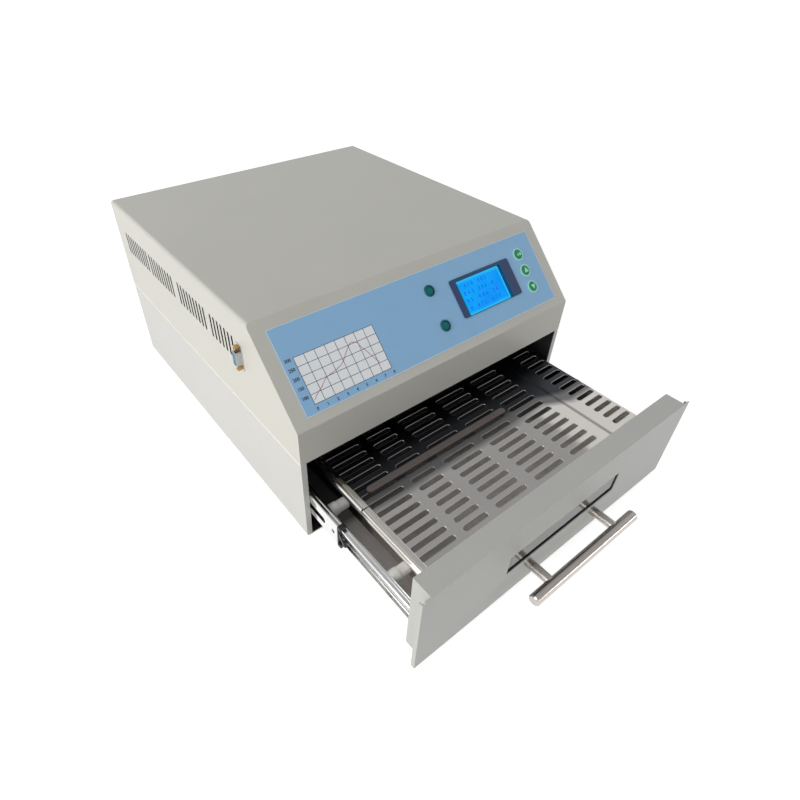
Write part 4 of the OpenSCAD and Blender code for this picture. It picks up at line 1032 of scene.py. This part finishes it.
def make_floor():
    """A plain floor, brightened where it is seen, so that it runs into the background."""
    floor, tree = new_plane("floor", 30.0)
    shader = tree.nodes["Principled BSDF"]
    shader.inputs["Base Color"].default_value = colour(0.64, 0.64, 0.64)
    shader.inputs["Roughness"].default_value = 0.9
    shader.inputs["Specular IOR Level"].default_value = 0.1
    shader.inputs["Emission Color"].default_value = colour(1.0, 1.0, 1.0)
    path = tree.nodes.new("ShaderNodeLightPath")
    seen = plus(tree, path.outputs["Is Camera Ray"], path.outputs["Is Glossy Ray"], clamp=True)
    link(tree, times(tree, seen, 0.75), shader.inputs["Emission Strength"])


def make_world():
    """White where it is seen, and a soft grey light where it only lights the object."""
    world = bpy.data.worlds.new("studio")
    bpy.context.scene.world = world
    world.use_nodes = True
    tree = world.node_tree
    path = tree.nodes.new("ShaderNodeLightPath")
    seen = plus(tree, path.outputs["Is Camera Ray"], path.outputs["Is Transmission Ray"], clamp=True)
    seen = plus(tree, seen, path.outputs["Is Glossy Ray"], clamp=True)
    shown = tint(tree, seen, colour(0.425, 0.438, 0.446), colour(1.0, 1.0, 1.0))
    link(tree, shown, tree.nodes["Background"].inputs["Color"])


def make_reflected(name, place, size, tone, strength):
    """A dim sheet away from the object, which only its shiny faces see."""
    sheet, tree = new_plane(name, size, place)
    sheet.visible_camera = False
    sheet.visible_diffuse = False
    sheet.visible_shadow = False
    sheet.visible_transmission = False
    shader = tree.nodes["Principled BSDF"]
    shader.inputs["Base Color"].default_value = colour(0.0, 0.0, 0.0)
    shader.inputs["Specular IOR Level"].default_value = 0.0
    shader.inputs["Emission Color"].default_value = tone
    shader.inputs["Emission Strength"].default_value = strength


def make_lamp(name, place, target, size, power, tone):
    data = bpy.data.lights.new(name, "AREA")
    data.shape = "RECTANGLE"
    data.size, data.size_y = size
    data.energy = power
    data.color = tone
    lamp = bpy.data.objects.new(name, data)
    bpy.context.scene.collection.objects.link(lamp)
    lamp.location = place
    lamp.rotation_euler = (Vector(target) - Vector(place)).to_track_quat("-Z", "Y").to_euler()


def make_camera(place, turn, lens, shift):
    """The camera: its place, its turn in degrees about X, Y and Z, its lens and the picture's shift."""
    data = bpy.data.cameras.new("camera")
    data.sensor_fit = "HORIZONTAL"
    data.sensor_width = 36.0
    data.lens = lens
    data.shift_x, data.shift_y = shift
    data.clip_start = 0.01
    data.clip_end = 200.0
    camera = bpy.data.objects.new("camera", data)
    bpy.context.scene.collection.objects.link(camera)
    camera.location = place
    camera.rotation_euler = Euler([math.radians(angle) for angle in turn])
    bpy.context.scene.camera = camera


CEILING_PLACE = Matrix.Translation((0.235, -0.2, 2.3))
FRONT_PLACE = Matrix.Translation((0.7, -1.25, 1.3)) @ UPRIGHT

make_floor()
make_world()
make_reflected("ceiling", CEILING_PLACE, size=2.135, tone=colour(0.96, 0.97, 1.0), strength=0.52)
make_reflected("front sheet", FRONT_PLACE, size=1.28, tone=colour(1.0, 0.98, 0.965), strength=0.5)
make_lamp(
    "side lamp", place=(-2.3, -0.1, 0.95), target=(0, 0, 0.1), size=(1.6, 1.6), power=40.0,
    tone=(1.0, 0.99, 0.965),
)
make_lamp(
    "front lamp", place=(0.64, -1.15, 0.30), target=(0, -0.3, 0.05), size=(0.55, 0.12), power=1.3,
    tone=(1.0, 1.0, 1.0),
)
make_camera(
    place=(-0.36226, -0.42988, 0.51457), turn=(49.529, -0.637, -37.834), lens=25.174,
    shift=(0.0391, -0.0073),
)
bpy.context.scene.view_settings.view_transform = "Standard"
